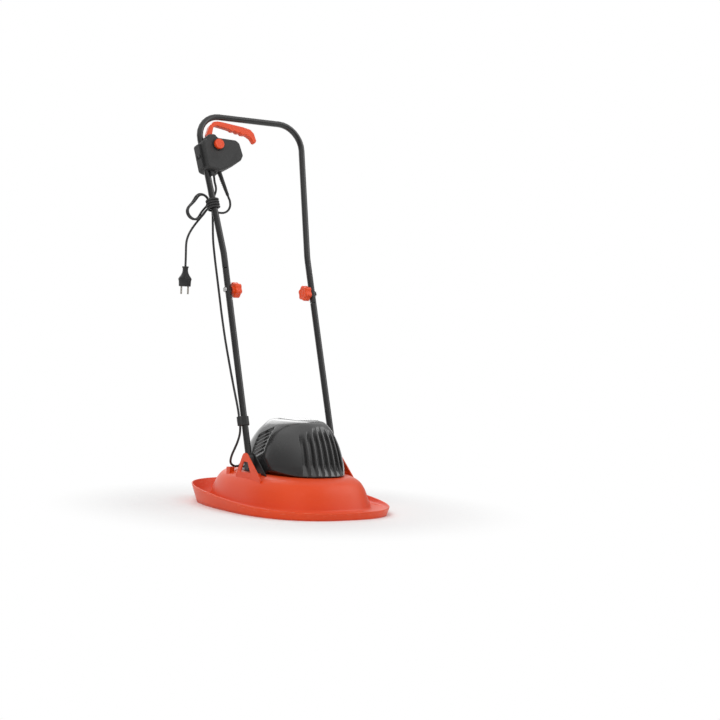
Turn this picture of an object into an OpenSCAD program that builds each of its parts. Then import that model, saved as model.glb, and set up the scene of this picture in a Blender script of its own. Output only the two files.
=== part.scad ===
// Electric hover mower with a two-section folding handle.
// Millimetres, +Z up, front of the mower towards -Y, handle pivot axis along X.
// The origin is under the middle of the deck, on the ground.

/* [Deck] */
// Width of the deck across its flared rim
deck_w = 410; // [400:1:440]
// Length of the deck over its flared rim
deck_l = 540; // [520:1:580]
// Height of the rim at the rear
rim_rear_h = 47; // [40:1:56]
// Height of the rim at the front
rim_front_h = 19; // [17:1:26]
// Thickness of the deck moulding
deck_wall = 3; // [2:0.5:4]
// Height of the gutter floor between rim and dome
gutter_z = 14; // [12:1:16]
// Width of the gutter, from the rim's outer edge to the foot of the dome
gutter_w = 42; // [36:1:46]
// Height of the flat top of the dome
dome_z = 88; // [85:1:92]
// Width of the flat top of the dome
plateau_w = 224; // [222:1:232]
// Length of the flat top of the dome
plateau_l = 344; // [338:1:360]
// Diameter of the air intake in the dome
intake_d = 150; // [130:1:156]

/* [Motor cover] */
// Width of the cover at its foot
cover_w = 214; // [208:1:218]
// Reach of the cover in front of the motor axis
cover_front = 164; // [158:1:167]
// Reach of the cover behind the motor axis
cover_rear = 112; // [108:1:116]
// Height of the cover's top above the ground
cover_top_z = 219; // [214:1:228]
// Thickness of the cover
cover_wall = 2.6; // [2:0.2:3.2]
// Number of grooves in the front grille
groove_count = 7; // [5:2:7]
// Width of one groove
groove_w = 7; // [5:0.5:9]
// Distance between grooves
groove_pitch = 17; // [15:0.5:18]
// Number of louvre slots on each side
louvre_count = 6; // [4:1:7]

/* [Motor and cutter] */
// Diameter of the motor shaft
shaft_d = 10; // [9:0.5:12]
// Outer diameter of the motor can
can_d = 88; // [84:1:92]
// Height of the motor can
can_h = 84; // [80:1:88]
// Diameter of the fan that lifts the deck
fan_d = 200; // [180:1:210]
// Number of fan vanes
vane_count = 12; // [8:1:16]
// Length of the cutting blade
blade_l = 300; // [280:1:306]
// Width of the cutting blade
blade_w = 46; // [40:1:54]
// Thickness of the cutting blade
blade_t = 3; // [2:0.5:4]
// Height of the blade's underside above the ground
blade_z = 28; // [26:1:30]

/* [Handle] */
// Outer diameter of the handle tube
tube_d = 16; // [15:0.5:17]
// Wall of the handle tube
tube_wall = 1.2; // [1:0.1:2]
// Backward lean of the handle at rest, in degrees
lean = 17.5; // [15:0.5:20]
// Distance from the deck's middle to each lower leg
leg_x = 125; // [124:0.5:128]
// Height of the handle pivot
pivot_z = 122; // [120:1:126]
// Place of the handle pivot along the deck
pivot_y = -8; // [-12:1:-4]
// Distance along the handle from pivot to folding joint
joint_t = 428; // [400:1:450]
// Distance along the handle from pivot to top bar
bar_t = 889; // [886:1:896]
// Half the distance between the legs where they would meet the top bar
bar_x = 159; // [157:1:161]
// Bend radius of the top corners
corner_r = 62; // [58:1:66]
// Bend radius where the upper legs flare out
flare_r = 160; // [140:5:200]
// Height of the flare's bend above the folding joint
flare_rise = 96; // [90:1:104]
// Diameter of the clamp knob over its lobes
knob_d = 40; // [36:1:44]
// Thickness of the clamp knob
knob_t = 18; // [16:1:22]
// Diameter of the joint bolt
bolt_d = 6; // [5:0.5:7]

/* [Switch box] */
// Width of the switch box
box_w = 112; // [110:1:116]
// Height of the switch box
box_h = 97; // [95:1:99]
// Depth of each half of the switch box
box_half_depth = 26; // [25:1:28]
// Wall of the switch box
box_wall = 2.5; // [2:0.1:3]
// Distance along the handle from pivot to the middle of the switch box
box_t = 780; // [779:0.5:782]
// Diameter of the lock-off button
button_d = 26; // [22:1:28]
// Travel of the lock-off button
button_travel = 4; // [2:0.5:5]
// Length of the switch lever over its hook
lever_l = 147; // [140:1:150]
// Height of the switch lever above its pivot
lever_h = 55; // [50:1:56]
// Thickness of the switch lever
lever_t = 14; // [12:0.5:15]

/* [Cords] */
// Diameter of the mains lead and of the motor cable
cord_d = 5.6; // [5:0.2:5.8]
// Number of loops in the tied hank
hank_loops = 2; // [2:1:3]
// Length of the hank over its loops
hank_l = 92; // [90:1:96]
// Width of the hank over its loops
hank_w = 50; // [48:1:52]
// Number of turns that tie the cords to the leg
tie_turns = 4; // [3:1:4]
// Diameter of the plug's pins
plug_pin_d = 4.8; // [4.7:0.1:4.9]
// Distance between the plug's pins
plug_pin_pitch = 19; // [18.6:0.1:19.2]

/* [Hidden] */

// Roundness of the turned shapes
$fn = 48;

// Clearances and the overrun of every cut
run_gap = 0.05;
seat_gap = 0.2;
move_gap = 0.5;
over = 1;

// Colours
orange = [0.90, 0.26, 0.13];
black = [0.06, 0.06, 0.065];
charcoal = [0.16, 0.16, 0.17];
steel = [0.62, 0.63, 0.65];
copper = [0.72, 0.42, 0.2];
silver = [0.80, 0.80, 0.82];

// Sides of the object: the operator's right-hand leg is on the -X side
right = -1;
left = 1;

// General functions
function mix(a, b, s) = a + (b - a) * s;
function ease(s) = s * s * (3 - 2 * s);
function unit(v) = v / norm(v);
function rounded(c, power) = sign(c) * pow(abs(c), 2 / power);
function inset_outline(p, d) =
    [for (i = [0 : len(p) - 1])
        let (before = unit(p[i] - p[(i + len(p) - 1) % len(p)]), after = unit(p[(i + 1) % len(p)] - p[i]))
        let (m = [before.y, -before.x], n = [after.y, -after.x]) p[i] + d * (m + n) / (1 + m * n)];

// Skin through a stack of rings, which runs back into its first ring or is capped at both ends
function ring_faces(rings, sides, closed) =
    [for (r = [0 : closed ? rings - 1 : rings - 2]) for (i = [0 : sides - 1])
        let (next = (r + 1) % rings, turn = (i + 1) % sides)
        let (a = r * sides + i, b = r * sides + turn, c = next * sides + turn, d = next * sides + i)
        for (f = [[a, d, c], [a, c, b]]) f];
function cap_faces(rings, sides) =
    let (last = (rings - 1) * sides)
    [for (i = [1 : sides - 2]) for (f = [[0, i, i + 1], [last, last + i + 1, last + i]]) f];
module skin(rings, closed = false) {
    sides = len(rings[0]);
    points = [for (r = rings) for (p = r) p];
    sheet = ring_faces(len(rings), sides, closed);
    polyhedron(points, closed ? sheet : concat(sheet, cap_faces(len(rings), sides)), convexity = 8);
}

// Tube swept along a path, its rings carried without twist
function path_way(p, i) = unit(p[min(i + 1, len(p) - 1)] - p[max(i - 1, 0)]);
function carried(n, way) = unit(n - (n * way) * way);
function path_sides(p, start) =
    [for (i = 0, n = start; i < len(p); i = i + 1, n = carried(n, path_way(p, min(i, len(p) - 1)))) n];
function tube_rings(p, d, sides, start) =
    let (across = path_sides(p, start))
    [for (i = [0 : len(p) - 1])
        let (way = path_way(p, i), n = carried(across[i], way), b = cross(way, n))
        [for (k = [0 : sides - 1]) p[i] + d / 2 * (cos(360 * k / sides) * n + sin(360 * k / sides) * b)]];
module tube_along(p, d, sides, start) {
    skin(tube_rings(p, d, sides, start));
}

// Smooth curve through hand-chosen points
function curve_point(a, b, c, d, s) =
    (2 * b + (c - a) * s + (2 * a - 5 * b + 4 * c - d) * s * s + (3 * b - a - 3 * c + d) * s * s * s) / 2;
function smooth(p, steps) =
    concat([for (i = [0 : len(p) - 2]) for (k = [0 : steps - 1])
        curve_point(p[max(i - 1, 0)], p[i], p[i + 1], p[min(i + 2, len(p) - 1)], k / steps)], [p[len(p) - 1]]);
function least_gap(p, d, apart) =
    min([for (i = [0 : len(p) - 1 - apart]) for (j = [i + apart : len(p) - 1]) norm(p[i] - p[j])]) - d;

// Deck rings: a squarish oval, with a rim that falls from rear to front
deck_power = 2.6;
ring_sides = 72;
rim_flare_share = 0.3;
plateau_half = [plateau_w / 2, plateau_l / 2];
foot_half = [deck_w / 2 - gutter_w, deck_l / 2 - gutter_w];
dome_h = dome_z - gutter_z;
dome_shares = [[0, 0], [0.14, 0.3], [0.3, 0.6], [0.48, 0.8], [0.66, 0.905], [0.85, 0.97], [1, 1]];
dome_last = len(dome_shares) - 1;

function oval_way(i, power) =
    [rounded(cos(360 * i / ring_sides), power), rounded(sin(360 * i / ring_sides), power)];
function rim_h(i) = mix(rim_front_h, rim_rear_h, ease((oval_way(i, deck_power).y + 1) / 2));
function rim_ring(inset, height) =
    [for (i = [0 : ring_sides - 1])
        let (w = oval_way(i, deck_power), d = inset(rim_h(i)))
        [(deck_w / 2 - d) * w.x, (deck_l / 2 - d) * w.y, height(rim_h(i))]];
function flat_ring(half, z, power = deck_power) =
    [for (i = [0 : ring_sides - 1]) let (w = oval_way(i, power)) [half.x * w.x, half.y * w.y, z]];
function dome_half(k) = mix(foot_half, plateau_half, dome_shares[k][0]);
function dome_level(k) = gutter_z + dome_h * dome_shares[k][1];
function dome_way(k) =
    let (a = max(k - 1, 0), b = min(k + 1, dome_last))
    unit([dome_half(b).x - dome_half(a).x, dome_level(b) - dome_level(a)]);
function dome_ring(k, depth) =
    let (way = dome_way(k), inward = way.y * depth)
    flat_ring(dome_half(k) - [inward, inward], dome_level(k) + way.x * depth);

intake_half = [intake_d / 2, intake_d / 2];
deck_rings = concat(
    [rim_ring(function (h) h * rim_flare_share, function (h) 0)],
    [rim_ring(function (h) 0, function (h) h)],
    [rim_ring(function (h) deck_wall, function (h) h)],
    [rim_ring(function (h) deck_wall + (h - gutter_z) * rim_flare_share, function (h) gutter_z)],
    [for (k = [0 : dome_last]) dome_ring(k, 0)],
    [flat_ring(intake_half, dome_z, 2)],
    [flat_ring(intake_half, dome_z - deck_wall, 2)],
    [flat_ring(plateau_half, dome_z - deck_wall)],
    [for (k = [dome_last - 1 : -1 : 1]) dome_ring(k, deck_wall)],
    [flat_ring(foot_half - [deck_wall, deck_wall], gutter_z - deck_wall)],
    [rim_ring(function (h) deck_wall + (h - gutter_z + deck_wall) * rim_flare_share,
        function (h) gutter_z - deck_wall)],
    [rim_ring(function (h) deck_wall + h * rim_flare_share, function (h) 0)]);

// Solid under the dome's outer face, shrunk by a depth
module under_dome(depth) {
    skin(concat([flat_ring(foot_half - [depth, depth], 0)], [for (k = [0 : dome_last]) dome_ring(k, depth)]));
}
// What is cut from a piece that stands on the dome
module dome_core() {
    translate([0, 0, seat_gap]) under_dome(0);
}

// Screws
screw_d = 4;
screw_head_d = 8;
screw_head_h = 2.6;
screw_hole_d = screw_d + seat_gap;
module screw(length) {
    translate([0, 0, -screw_head_h]) cylinder(d = screw_head_d, h = screw_head_h);
    cylinder(d = screw_d, h = length);
}
module at_places(places, z) {
    for (p = places) translate([p.x, p.y, z]) children();
}

// Handle brackets
cheek_t = 3;
leg_room = tube_d / 2 + move_gap;
cheek_out = leg_x + leg_room;
cheek_in = leg_x - leg_room;
apex_r = 15;
bracket_front = 72;
bracket_back = 40;
bracket_base_drop = 8;
bracket_base_z = dome_z - bracket_base_drop;
bracket_low_z = gutter_z + dome_h / 2;
bracket_floor_rise = 2;
bracket_floor_z = dome_z + bracket_floor_rise;
window_front = 26;
window_back = 20;
window_top_front = 12;
window_top_back = 7;
window_top_drop = 6.5;
window_low_z = bracket_floor_z + move_gap;
pivot_pin_d = 8;
pivot_head_d = 15;
pivot_head_t = 2.4;
pivot_skin = 0.8;
bracket_screw_front = 34;
bracket_foot_front = 44;
bracket_screw_back = 24;
bracket_places = [for (side = [right, left])
    for (y = [pivot_y - bracket_screw_front, pivot_y + bracket_screw_back]) [side * leg_x, y]];
boss_d = 14;
boss_drop = 14;
bracket_screw_l = 15;

// Deck hood with its screw bosses and holes
module deck_hood() {
    color(orange) difference() {
        union() {
            skin(deck_rings, closed = true);
            intersection() {
                at_places(bracket_places, dome_z - boss_drop) cylinder(d = boss_d, h = boss_drop);
                under_dome(deck_wall / 2);
            }
        }
        at_places(bracket_places, dome_z - boss_drop - over) cylinder(d = screw_hole_d, h = dome_h);
        at_places(mount_places, dome_z - deck_wall - over) cylinder(d = screw_hole_d, h = dome_h);
        at_places(cover_places, dome_z - deck_wall - over) cylinder(d = screw_hole_d, h = dome_h);
    }
}

// Motor cover: a tapering shell, narrower in front, with a grooved front and louvred sides
cover_power = 3;
cover_sides = 64;
cover_h = cover_top_z - dome_z;
cover_taper_share = 0.22;
cover_shares = [[0, 1, 1, 1], [0.22, 0.98, 0.965, 0.95], [0.5, 0.89, 0.885, 0.80], [0.74, 0.75, 0.79, 0.62],
    [0.89, 0.61, 0.71, 0.46], [0.97, 0.5, 0.64, 0.36], [1, 0.4, 0.56, 0.26]];
cover_last = len(cover_shares) - 1;
function cover_ring(k, wall, z) =
    let (s = cover_shares[k], half_w = cover_w / 2 * s[1] - wall)
    let (front = cover_front * s[2] - wall, rear = cover_rear * s[3] - wall)
    [for (i = [0 : cover_sides - 1])
        let (a = 360 * i / cover_sides, y = (sin(a) < 0 ? front : rear) * rounded(sin(a), cover_power))
        let (narrow = 1 - cover_taper_share * pow(max(-y / cover_front, 0), 2))
        [half_w * narrow * rounded(cos(a), cover_power), y, z]];
function cover_level(k, wall) = dome_z + (cover_h - wall) * cover_shares[k][0];
cover_outer = [for (k = [0 : cover_last]) cover_ring(k, 0, cover_level(k, 0))];
cover_inner = concat([cover_ring(0, cover_wall, dome_z - over)],
    [for (k = [1 : cover_last]) cover_ring(k, cover_wall, cover_level(k, cover_wall))]);

groove_low_share = 0.1;
groove_high_share = 0.8;
groove_front_share = 0.89;
groove_lean = 22;
groove_depth = 30;
groove_l = cover_h * (groove_high_share - groove_low_share) / cos(groove_lean);
groove_z = dome_z + cover_h * (groove_high_share + groove_low_share) / 2;
louvre_w = 3;
louvre_l = 32;
louvre_pitch = 9;
louvre_y = -6;
louvre_tilt = 32;
louvre_rise = 46;
louvre_low_z = dome_z + louvre_rise;
cover_boss_d = 10;
cover_boss_h = 22;
cover_boss_front = 116;
cover_boss_front_x = 62;
cover_boss_rear = 66;
cover_boss_rear_x = 76;
cover_places = [for (side = [right, left])
    for (p = [[cover_boss_front_x, -cover_boss_front], [cover_boss_rear_x, cover_boss_rear]]) [side * p.x, p.y]];
cover_screw_l = 18;
grommet_y = 86;
grommet_rise = 7;
grommet_z = dome_z + grommet_rise;
grommet_d = 12;
grommet_out = 94;
grommet_in = 78;
plate_w = 60;
plate_front = 72;
plate_rear = 18;
plate_t = 1.2;

// Screw bosses, each with a rib that runs out to the cover's side
module cover_bosses() {
    at_places(cover_places, dome_z) cylinder(d = cover_boss_d, h = cover_boss_h);
    for (p = cover_places) translate([p.x < 0 ? p.x - cover_w / 2 : p.x, p.y - cover_wall / 2, dome_z])
        cube([cover_w / 2, cover_wall, cover_boss_h]);
}
module motor_cover() {
    color(black) difference() {
        union() {
            difference() {
                skin(cover_outer);
                skin(cover_inner);
            }
            intersection() {
                skin(cover_outer);
                cover_bosses();
            }
        }
        at_places(cover_places, dome_z - over) cylinder(d = screw_hole_d, h = cover_screw_l + over);
        for (i = [0 : groove_count - 1])
            translate([(i - (groove_count - 1) / 2) * groove_pitch, -cover_front * groove_front_share, groove_z])
                rotate([-groove_lean, 0, 0]) cube([groove_w, groove_depth, groove_l], center = true);
        for (side = [right, left]) for (i = [0 : louvre_count - 1])
            translate([side * cover_w / 2, louvre_y, louvre_low_z + i * louvre_pitch])
                rotate([louvre_tilt, 0, 0]) cube([cover_w / 2, louvre_l, louvre_w], center = true);
        translate([-grommet_out, grommet_y, grommet_z]) rotate([0, 90, 0])
            cylinder(d = grommet_d + 2 * run_gap, h = grommet_out - grommet_in);
    }
}
module cover_top_plate() {
    color(silver) translate([-plate_w / 2, -plate_front, cover_top_z])
        cube([plate_w, plate_front + plate_rear, plate_t]);
}
module cover_screws() {
    color(steel) at_places(cover_places, dome_z - deck_wall) screw(cover_screw_l);
}
module cable_grommet() {
    color(charcoal) translate([-grommet_out, grommet_y, grommet_z]) rotate([0, 90, 0])
        cylinder(d = grommet_d, h = grommet_out - grommet_in);
}

// Motor on its spoked mount over the air intake
mount_lap = 14;
mount_d = intake_d + 2 * mount_lap;
mount_t = 6;
mount_hub_d = 40;
mount_hub_drop = 8;
mount_window_d = 40;
mount_window_count = 6;
mount_screw_r = (intake_d + mount_lap) / 2;
mount_screw_l = 12;
mount_places = [for (a = [45 : 90 : 315]) mount_screw_r * [cos(a), sin(a)]];
mount_top = dome_z + mount_t;
bearing_d = 26;
bearing_h = 8;
bearing_recess = 2;
can_wall = 2;
can_top = mount_top + can_h;
cap_t = 4;
cap_hub_d = 36;
cap_hub_h = 12;
brush_post = 10;
brush_post_drop = 16;
brush_w = 7;
brush_h = 12;
brush_out_r = can_d / 2 - 2 * can_wall - brush_post;
stator_h = 54;
stator_rise = 12;
armature_d = 52;
air_gap = 1;
armature_h = 50;
armature_slots = 12;
armature_slot_w = 4;
armature_slot_depth = 8;
commutator_d = 26;
commutator_h = 14;
commutator_z = can_top - brush_post_drop;
shaft_top = can_top + cap_hub_h - over;

module motor_mount() {
    color(charcoal) difference() {
        union() {
            translate([0, 0, dome_z]) cylinder(d = mount_d, h = mount_t);
            translate([0, 0, dome_z - mount_hub_drop]) cylinder(d = mount_hub_d, h = mount_hub_drop + mount_t);
        }
        translate([0, 0, dome_z - mount_hub_drop + bearing_recess])
            cylinder(d = bearing_d + 2 * run_gap, h = mount_hub_drop + mount_t);
        translate([0, 0, dome_z - mount_hub_drop - over])
            cylinder(d = bearing_d - 2 * bearing_recess, h = mount_hub_drop);
        for (i = [0 : mount_window_count - 1]) rotate(360 * i / mount_window_count)
            translate([(mount_hub_d + intake_d) / 4, 0, dome_z - over])
                cylinder(d = min(mount_window_d, (intake_d - mount_hub_d) / 2 - mount_t), h = mount_t + 2 * over);
        at_places(mount_places, dome_z - over) cylinder(d = screw_hole_d, h = mount_t + 2 * over);
        // A wide flange is notched round the cover's screw bosses
        at_places(cover_places, dome_z - over) cylinder(d = cover_boss_d + 2 * move_gap, h = mount_t + 2 * over);
    }
}
module mount_screws() {
    color(steel) at_places(mount_places, mount_top) rotate([180, 0, 0]) screw(mount_screw_l);
}
module bearing(z) {
    color(steel) translate([0, 0, z]) difference() {
        cylinder(d = bearing_d, h = bearing_h);
        translate([0, 0, -over]) cylinder(d = shaft_d + 2 * run_gap, h = bearing_h + 2 * over);
    }
}
module lower_bearing() {
    bearing(dome_z - mount_hub_drop + bearing_recess);
}
module upper_bearing() {
    bearing(can_top + cap_t);
}
module motor_can() {
    color(steel) translate([0, 0, mount_top]) difference() {
        cylinder(d = can_d, h = can_h);
        translate([0, 0, -over]) cylinder(d = can_d - 2 * can_wall, h = can_h + 2 * over);
    }
}
module motor_end_cap() {
    color(charcoal) difference() {
        union() {
            translate([0, 0, can_top]) cylinder(d = can_d, h = cap_t);
            translate([0, 0, can_top]) cylinder(d = cap_hub_d, h = cap_hub_h);
            for (side = [right, left])
                translate([side * (brush_out_r + brush_post / 2), 0, can_top - brush_post_drop / 2])
                    cube([brush_post, brush_post, brush_post_drop + cap_t], center = true);
        }
        translate([0, 0, can_top + cap_t]) cylinder(d = bearing_d + 2 * run_gap, h = cap_hub_h);
        translate([0, 0, can_top - over]) cylinder(d = bearing_d - 2 * bearing_recess, h = cap_hub_h);
    }
}
module stator() {
    color(steel) translate([0, 0, mount_top + stator_rise]) difference() {
        cylinder(d = can_d - 2 * can_wall - 2 * run_gap, h = stator_h);
        translate([0, 0, -over]) cylinder(d = armature_d + 2 * air_gap, h = stator_h + 2 * over);
    }
}
module carbon_brushes() {
    inner = commutator_d / 2 + move_gap;
    color(black) for (side = [right, left])
        translate([side * (inner + brush_out_r) / 2, 0, commutator_z + commutator_h / 2])
            cube([brush_out_r - inner, brush_w, brush_h], center = true);
}

// Turning parts: shaft, winding, fan and blade
spacer_h = 6;
spacer_count = 2;
spacer_d = 50;
spacer_top = blade_z + blade_t + spacer_count * spacer_h;
blade_bolt_d = 6;
blade_bolt_head = 15;
blade_bolt_head_h = 6;
blade_bolt_depth = 26;
washer_d = 34;
washer_t = 2;
fan_hub_d = 44;
fan_plate_t = 2.5;
fan_gap = 1.5;
fan_top = dome_z - mount_hub_drop - fan_gap;
vane_t = 2.2;
vane_h = 24;
vane_sweep = 24;
vane_root = 4;
vane_r = fan_hub_d / 2 + vane_root;
blade_tip_share = 0.62;
blade_neck_share = 0.8;

module on_shaft(z, d, h) {
    translate([0, 0, z]) difference() {
        cylinder(d = d, h = h);
        translate([0, 0, -over]) cylinder(d = shaft_d + 2 * run_gap, h = h + 2 * over);
    }
}
module motor_shaft() {
    color(steel) difference() {
        translate([0, 0, spacer_top]) cylinder(d = shaft_d, h = shaft_top - spacer_top);
        translate([0, 0, spacer_top - over])
            cylinder(d = blade_bolt_d + 2 * run_gap, h = blade_bolt_depth + over);
    }
}
module armature() {
    z = mount_top + stator_rise + (stator_h - armature_h) / 2;
    color(copper) difference() {
        on_shaft(z, armature_d, armature_h);
        for (i = [0 : armature_slots - 1]) rotate(360 * i / armature_slots)
            translate([armature_d / 2 - armature_slot_depth, -armature_slot_w / 2, z - over])
                cube([armature_slot_depth + over, armature_slot_w, armature_h + 2 * over]);
    }
}
module commutator() {
    color(copper) on_shaft(commutator_z, commutator_d, commutator_h);
}
module impeller_fan() {
    color(charcoal) {
        on_shaft(spacer_top, fan_hub_d, fan_top - spacer_top);
        difference() {
            translate([0, 0, fan_top - fan_plate_t]) cylinder(d = fan_d, h = fan_plate_t);
            translate([0, 0, spacer_top]) cylinder(d = fan_hub_d - over, h = fan_top);
        }
        for (i = [0 : vane_count - 1]) rotate(360 * i / vane_count)
            translate([vane_r, 0, fan_top - fan_plate_t - vane_h]) rotate(-vane_sweep)
                translate([0, -vane_t / 2, 0]) cube([fan_d / 2 - vane_r - vane_t, vane_t, vane_h + fan_plate_t / 2]);
    }
}
module with_bolt_hole(d, h) {
    difference() {
        children();
        translate([0, 0, -over]) cylinder(d = d, h = h + 2 * over);
    }
}
module blade_spacers() {
    color(orange) for (i = [0 : spacer_count - 1])
        translate([0, 0, blade_z + blade_t + i * spacer_h]) with_bolt_hole(blade_bolt_d + 2 * run_gap, spacer_h)
            cylinder(d = spacer_d, h = spacer_h - run_gap);
}
module cutting_blade() {
    tip = blade_l / 2;
    neck = tip * blade_tip_share;
    narrow = blade_w / 2 * blade_neck_share;
    color(steel) translate([0, 0, blade_z]) with_bolt_hole(blade_bolt_d + 2 * run_gap, blade_t)
        linear_extrude(blade_t) polygon([[-tip, -narrow], [-neck, -blade_w / 2], [neck, -blade_w / 2],
            [tip, -blade_w / 2], [tip, narrow], [neck, blade_w / 2], [-neck, blade_w / 2], [-tip, blade_w / 2]]);
}
module blade_washer() {
    color(steel) translate([0, 0, blade_z - washer_t]) with_bolt_hole(blade_bolt_d + 2 * run_gap, washer_t)
        cylinder(d = washer_d, h = washer_t);
}
module blade_bolt() {
    color(steel) translate([0, 0, blade_z - washer_t - blade_bolt_head_h]) {
        cylinder(d = blade_bolt_head, h = blade_bolt_head_h, $fn = 6);
        cylinder(d = blade_bolt_d, h = spacer_top - blade_z + washer_t + blade_bolt_head_h
            + blade_bolt_depth - over);
    }
}

// Handle brackets on the dome, each an outer cheek with a foot, and a plate on the inner side
function tangent_point(p, r, side) = let (a = atan2(p.y, p.x) + side * acos(r / norm(p))) r * [cos(a), sin(a)];
module cheek_outline() {
    low = bracket_low_z - pivot_z;
    base = bracket_base_z - pivot_z;
    front = [-bracket_front, base];
    back = [bracket_back, base];
    polygon([[-bracket_front, low], [bracket_back, low], back, tangent_point(back, apex_r, 1),
        tangent_point(front, apex_r, -1), front]);
    circle(r = apex_r);
}
module window_outline() {
    low = window_low_z - pivot_z;
    polygon([[-window_front, low], [window_back, low], [window_top_back, -window_top_drop],
        [-window_top_front, -window_top_drop]]);
}
// Stands an outline drawn as [y, z] from the pivot upright in a plane across X
module at_pivot_side(x, t) {
    translate([x, pivot_y, pivot_z]) rotate([90, 0, 90]) linear_extrude(t) children();
}
module handle_bracket(side) {
    outer = side < 0 ? -cheek_out - cheek_t : cheek_out;
    color(orange) difference() {
        union() {
            difference() {
                at_pivot_side(outer, cheek_t) cheek_outline();
                at_pivot_side(outer - over, cheek_t + 2 * over) window_outline();
            }
            translate([side * leg_x - leg_room, pivot_y - bracket_foot_front, bracket_low_z])
                cube([2 * leg_room, bracket_foot_front + bracket_back, bracket_floor_z - bracket_low_z]);
        }
        dome_core();
        pivot_hole();
        at_places(bracket_places, bracket_low_z) {
            cylinder(d = screw_hole_d, h = dome_z - boss_drop + bracket_screw_l + seat_gap - bracket_low_z);
            cylinder(d = screw_head_d + 2 * seat_gap, h = dome_z - boss_drop + seat_gap - bracket_low_z);
        }
    }
}
module pivot_hole() {
    reach = cheek_out + cheek_t - pivot_skin + seat_gap;
    translate([-reach, pivot_y, pivot_z]) rotate([0, 90, 0])
        cylinder(d = pivot_pin_d + 2 * run_gap, h = 2 * reach);
}
module bracket_plate(side) {
    inner = side < 0 ? -cheek_in + seat_gap : cheek_in - cheek_t - seat_gap;
    color(black) difference() {
        at_pivot_side(inner, cheek_t) cheek_outline();
        dome_core();
        pivot_hole();
    }
}
module bracket_plate_right() {
    bracket_plate(right);
}
module bracket_plate_left() {
    bracket_plate(left);
}
module handle_bracket_right() {
    handle_bracket(right);
}
module handle_bracket_left() {
    handle_bracket(left);
}
module bracket_screws() {
    color(steel) at_places(bracket_places, dome_z - boss_drop) screw(bracket_screw_l);
}
module pivot_pins() {
    start = cheek_in - cheek_t - 2 * seat_gap - pivot_head_t;
    color(steel) for (side = [right, left]) mirror([side < 0 ? 1 : 0, 0, 0])
        translate([start, pivot_y, pivot_z]) rotate([0, 90, 0]) {
            cylinder(d = pivot_pin_d, h = cheek_out + cheek_t - pivot_skin - start);
            cylinder(d = pivot_head_d, h = pivot_head_t);
        }
}
hook_x = -122;
hook_y = 82;
hook_w = 14;
hook_l = 16;
hook_rise = 6;
hook_top_z = dome_z + hook_rise;
module cable_hook() {
    color(orange) difference() {
        translate([hook_x - hook_w / 2, hook_y - hook_l / 2, bracket_low_z])
            cube([hook_w, hook_l, hook_top_z - bracket_low_z]);
        dome_core();
    }
}

// Legs: ferrule at the pivot, tube, half-lap at the folding joint
ferrule_w = 22;
ferrule_drop = 26;
ferrule_rise = 14;
spigot_l = 28;
lap_gap = 0.4;
lap_above = 54;
lap_below = 24;
lap_room = 2.6;
lap_low = joint_t - lap_below - lap_room;
lap_high = joint_t + lap_above + lap_room;
bolt_head_d = 13;
bolt_head_t = 3.2;
knob_lobes = 6;
knob_neck_d = 18;
knob_neck_t = 4;
knob_core_share = 0.8;
knob_lobe_share = 0.3;
knob_seat = tube_d / 2 + move_gap;
bolt_share = 0.7;
bolt_reach = knob_seat + knob_neck_t + knob_t * bolt_share;

module on_handle() {
    translate([0, pivot_y, pivot_z]) rotate([-lean, 0, 0]) children();
}
module tube_section() {
    difference() {
        circle(d = tube_d);
        circle(d = tube_d - 2 * tube_wall);
    }
}
module straight_tube(length) {
    linear_extrude(length) tube_section();
}
// Plug inside the tube, where a bend meets a straight run
module tube_plug() {
    cylinder(d = tube_d - tube_wall, h = tube_d / 4, center = true);
}
// Half of a tube end, pressed to one side of the leg: +1 keeps the half away from the middle of the handle
module half_lap(length, outward) {
    intersection() {
        cylinder(d = tube_d, h = length);
        translate([outward > 0 ? lap_gap / 2 : -tube_d, -tube_d, -over])
            cube([tube_d - (outward > 0 ? 0 : lap_gap / 2), 2 * tube_d, length + 2 * over]);
    }
}
module joint_hole() {
    translate([0, 0, joint_t]) rotate([0, 90, 0])
        cylinder(d = bolt_d + 2 * run_gap, h = 2 * tube_d, center = true);
}
// A leg is drawn for the +X side and mirrored for the other
module on_leg(side) {
    on_handle() mirror([side < 0 ? 1 : 0, 0, 0]) translate([leg_x, 0, 0]) children();
}
module lower_tube(side) {
    color(charcoal) on_leg(side) difference() {
        union() {
            translate([0, 0, ferrule_rise]) straight_tube(lap_low - ferrule_rise);
            translate([0, 0, lap_low - over]) half_lap(joint_t + lap_above - lap_low + over, 1);
        }
        joint_hole();
    }
}
module lower_tube_right() {
    lower_tube(right);
}
module lower_tube_left() {
    lower_tube(left);
}
module tube_ferrule(side) {
    round_r = ferrule_w / 2;
    color(black) on_leg(side) difference() {
        union() {
            translate([-tube_d / 2, 0, 0]) rotate([90, 0, 90]) linear_extrude(tube_d) {
                translate([-round_r, -ferrule_drop + round_r]) square([ferrule_w, ferrule_drop - round_r]);
                translate([0, -ferrule_drop + round_r]) circle(r = round_r);
                circle(r = round_r);
                translate([-tube_d / 2, 0]) square([tube_d, ferrule_rise]);
            }
            translate([0, 0, ferrule_rise - over]) cylinder(d = tube_d - 2 * tube_wall - 2 * run_gap,
                h = spigot_l);
        }
        rotate([0, 90, 0]) cylinder(d = pivot_pin_d + 2 * run_gap, h = 2 * tube_d, center = true);
    }
}
module tube_ferrule_right() {
    tube_ferrule(right);
}
module tube_ferrule_left() {
    tube_ferrule(left);
}
module joint_bolt(side) {
    color(steel) on_leg(side) translate([0, 0, joint_t]) rotate([0, -90, 0]) {
        translate([0, 0, -tube_d / 2]) cylinder(d = bolt_d, h = tube_d / 2 + bolt_reach);
        translate([0, 0, -tube_d / 2 - bolt_head_t]) cylinder(d = bolt_head_d, h = bolt_head_t);
    }
}
module joint_bolt_right() {
    joint_bolt(right);
}
module joint_bolt_left() {
    joint_bolt(left);
}
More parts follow.
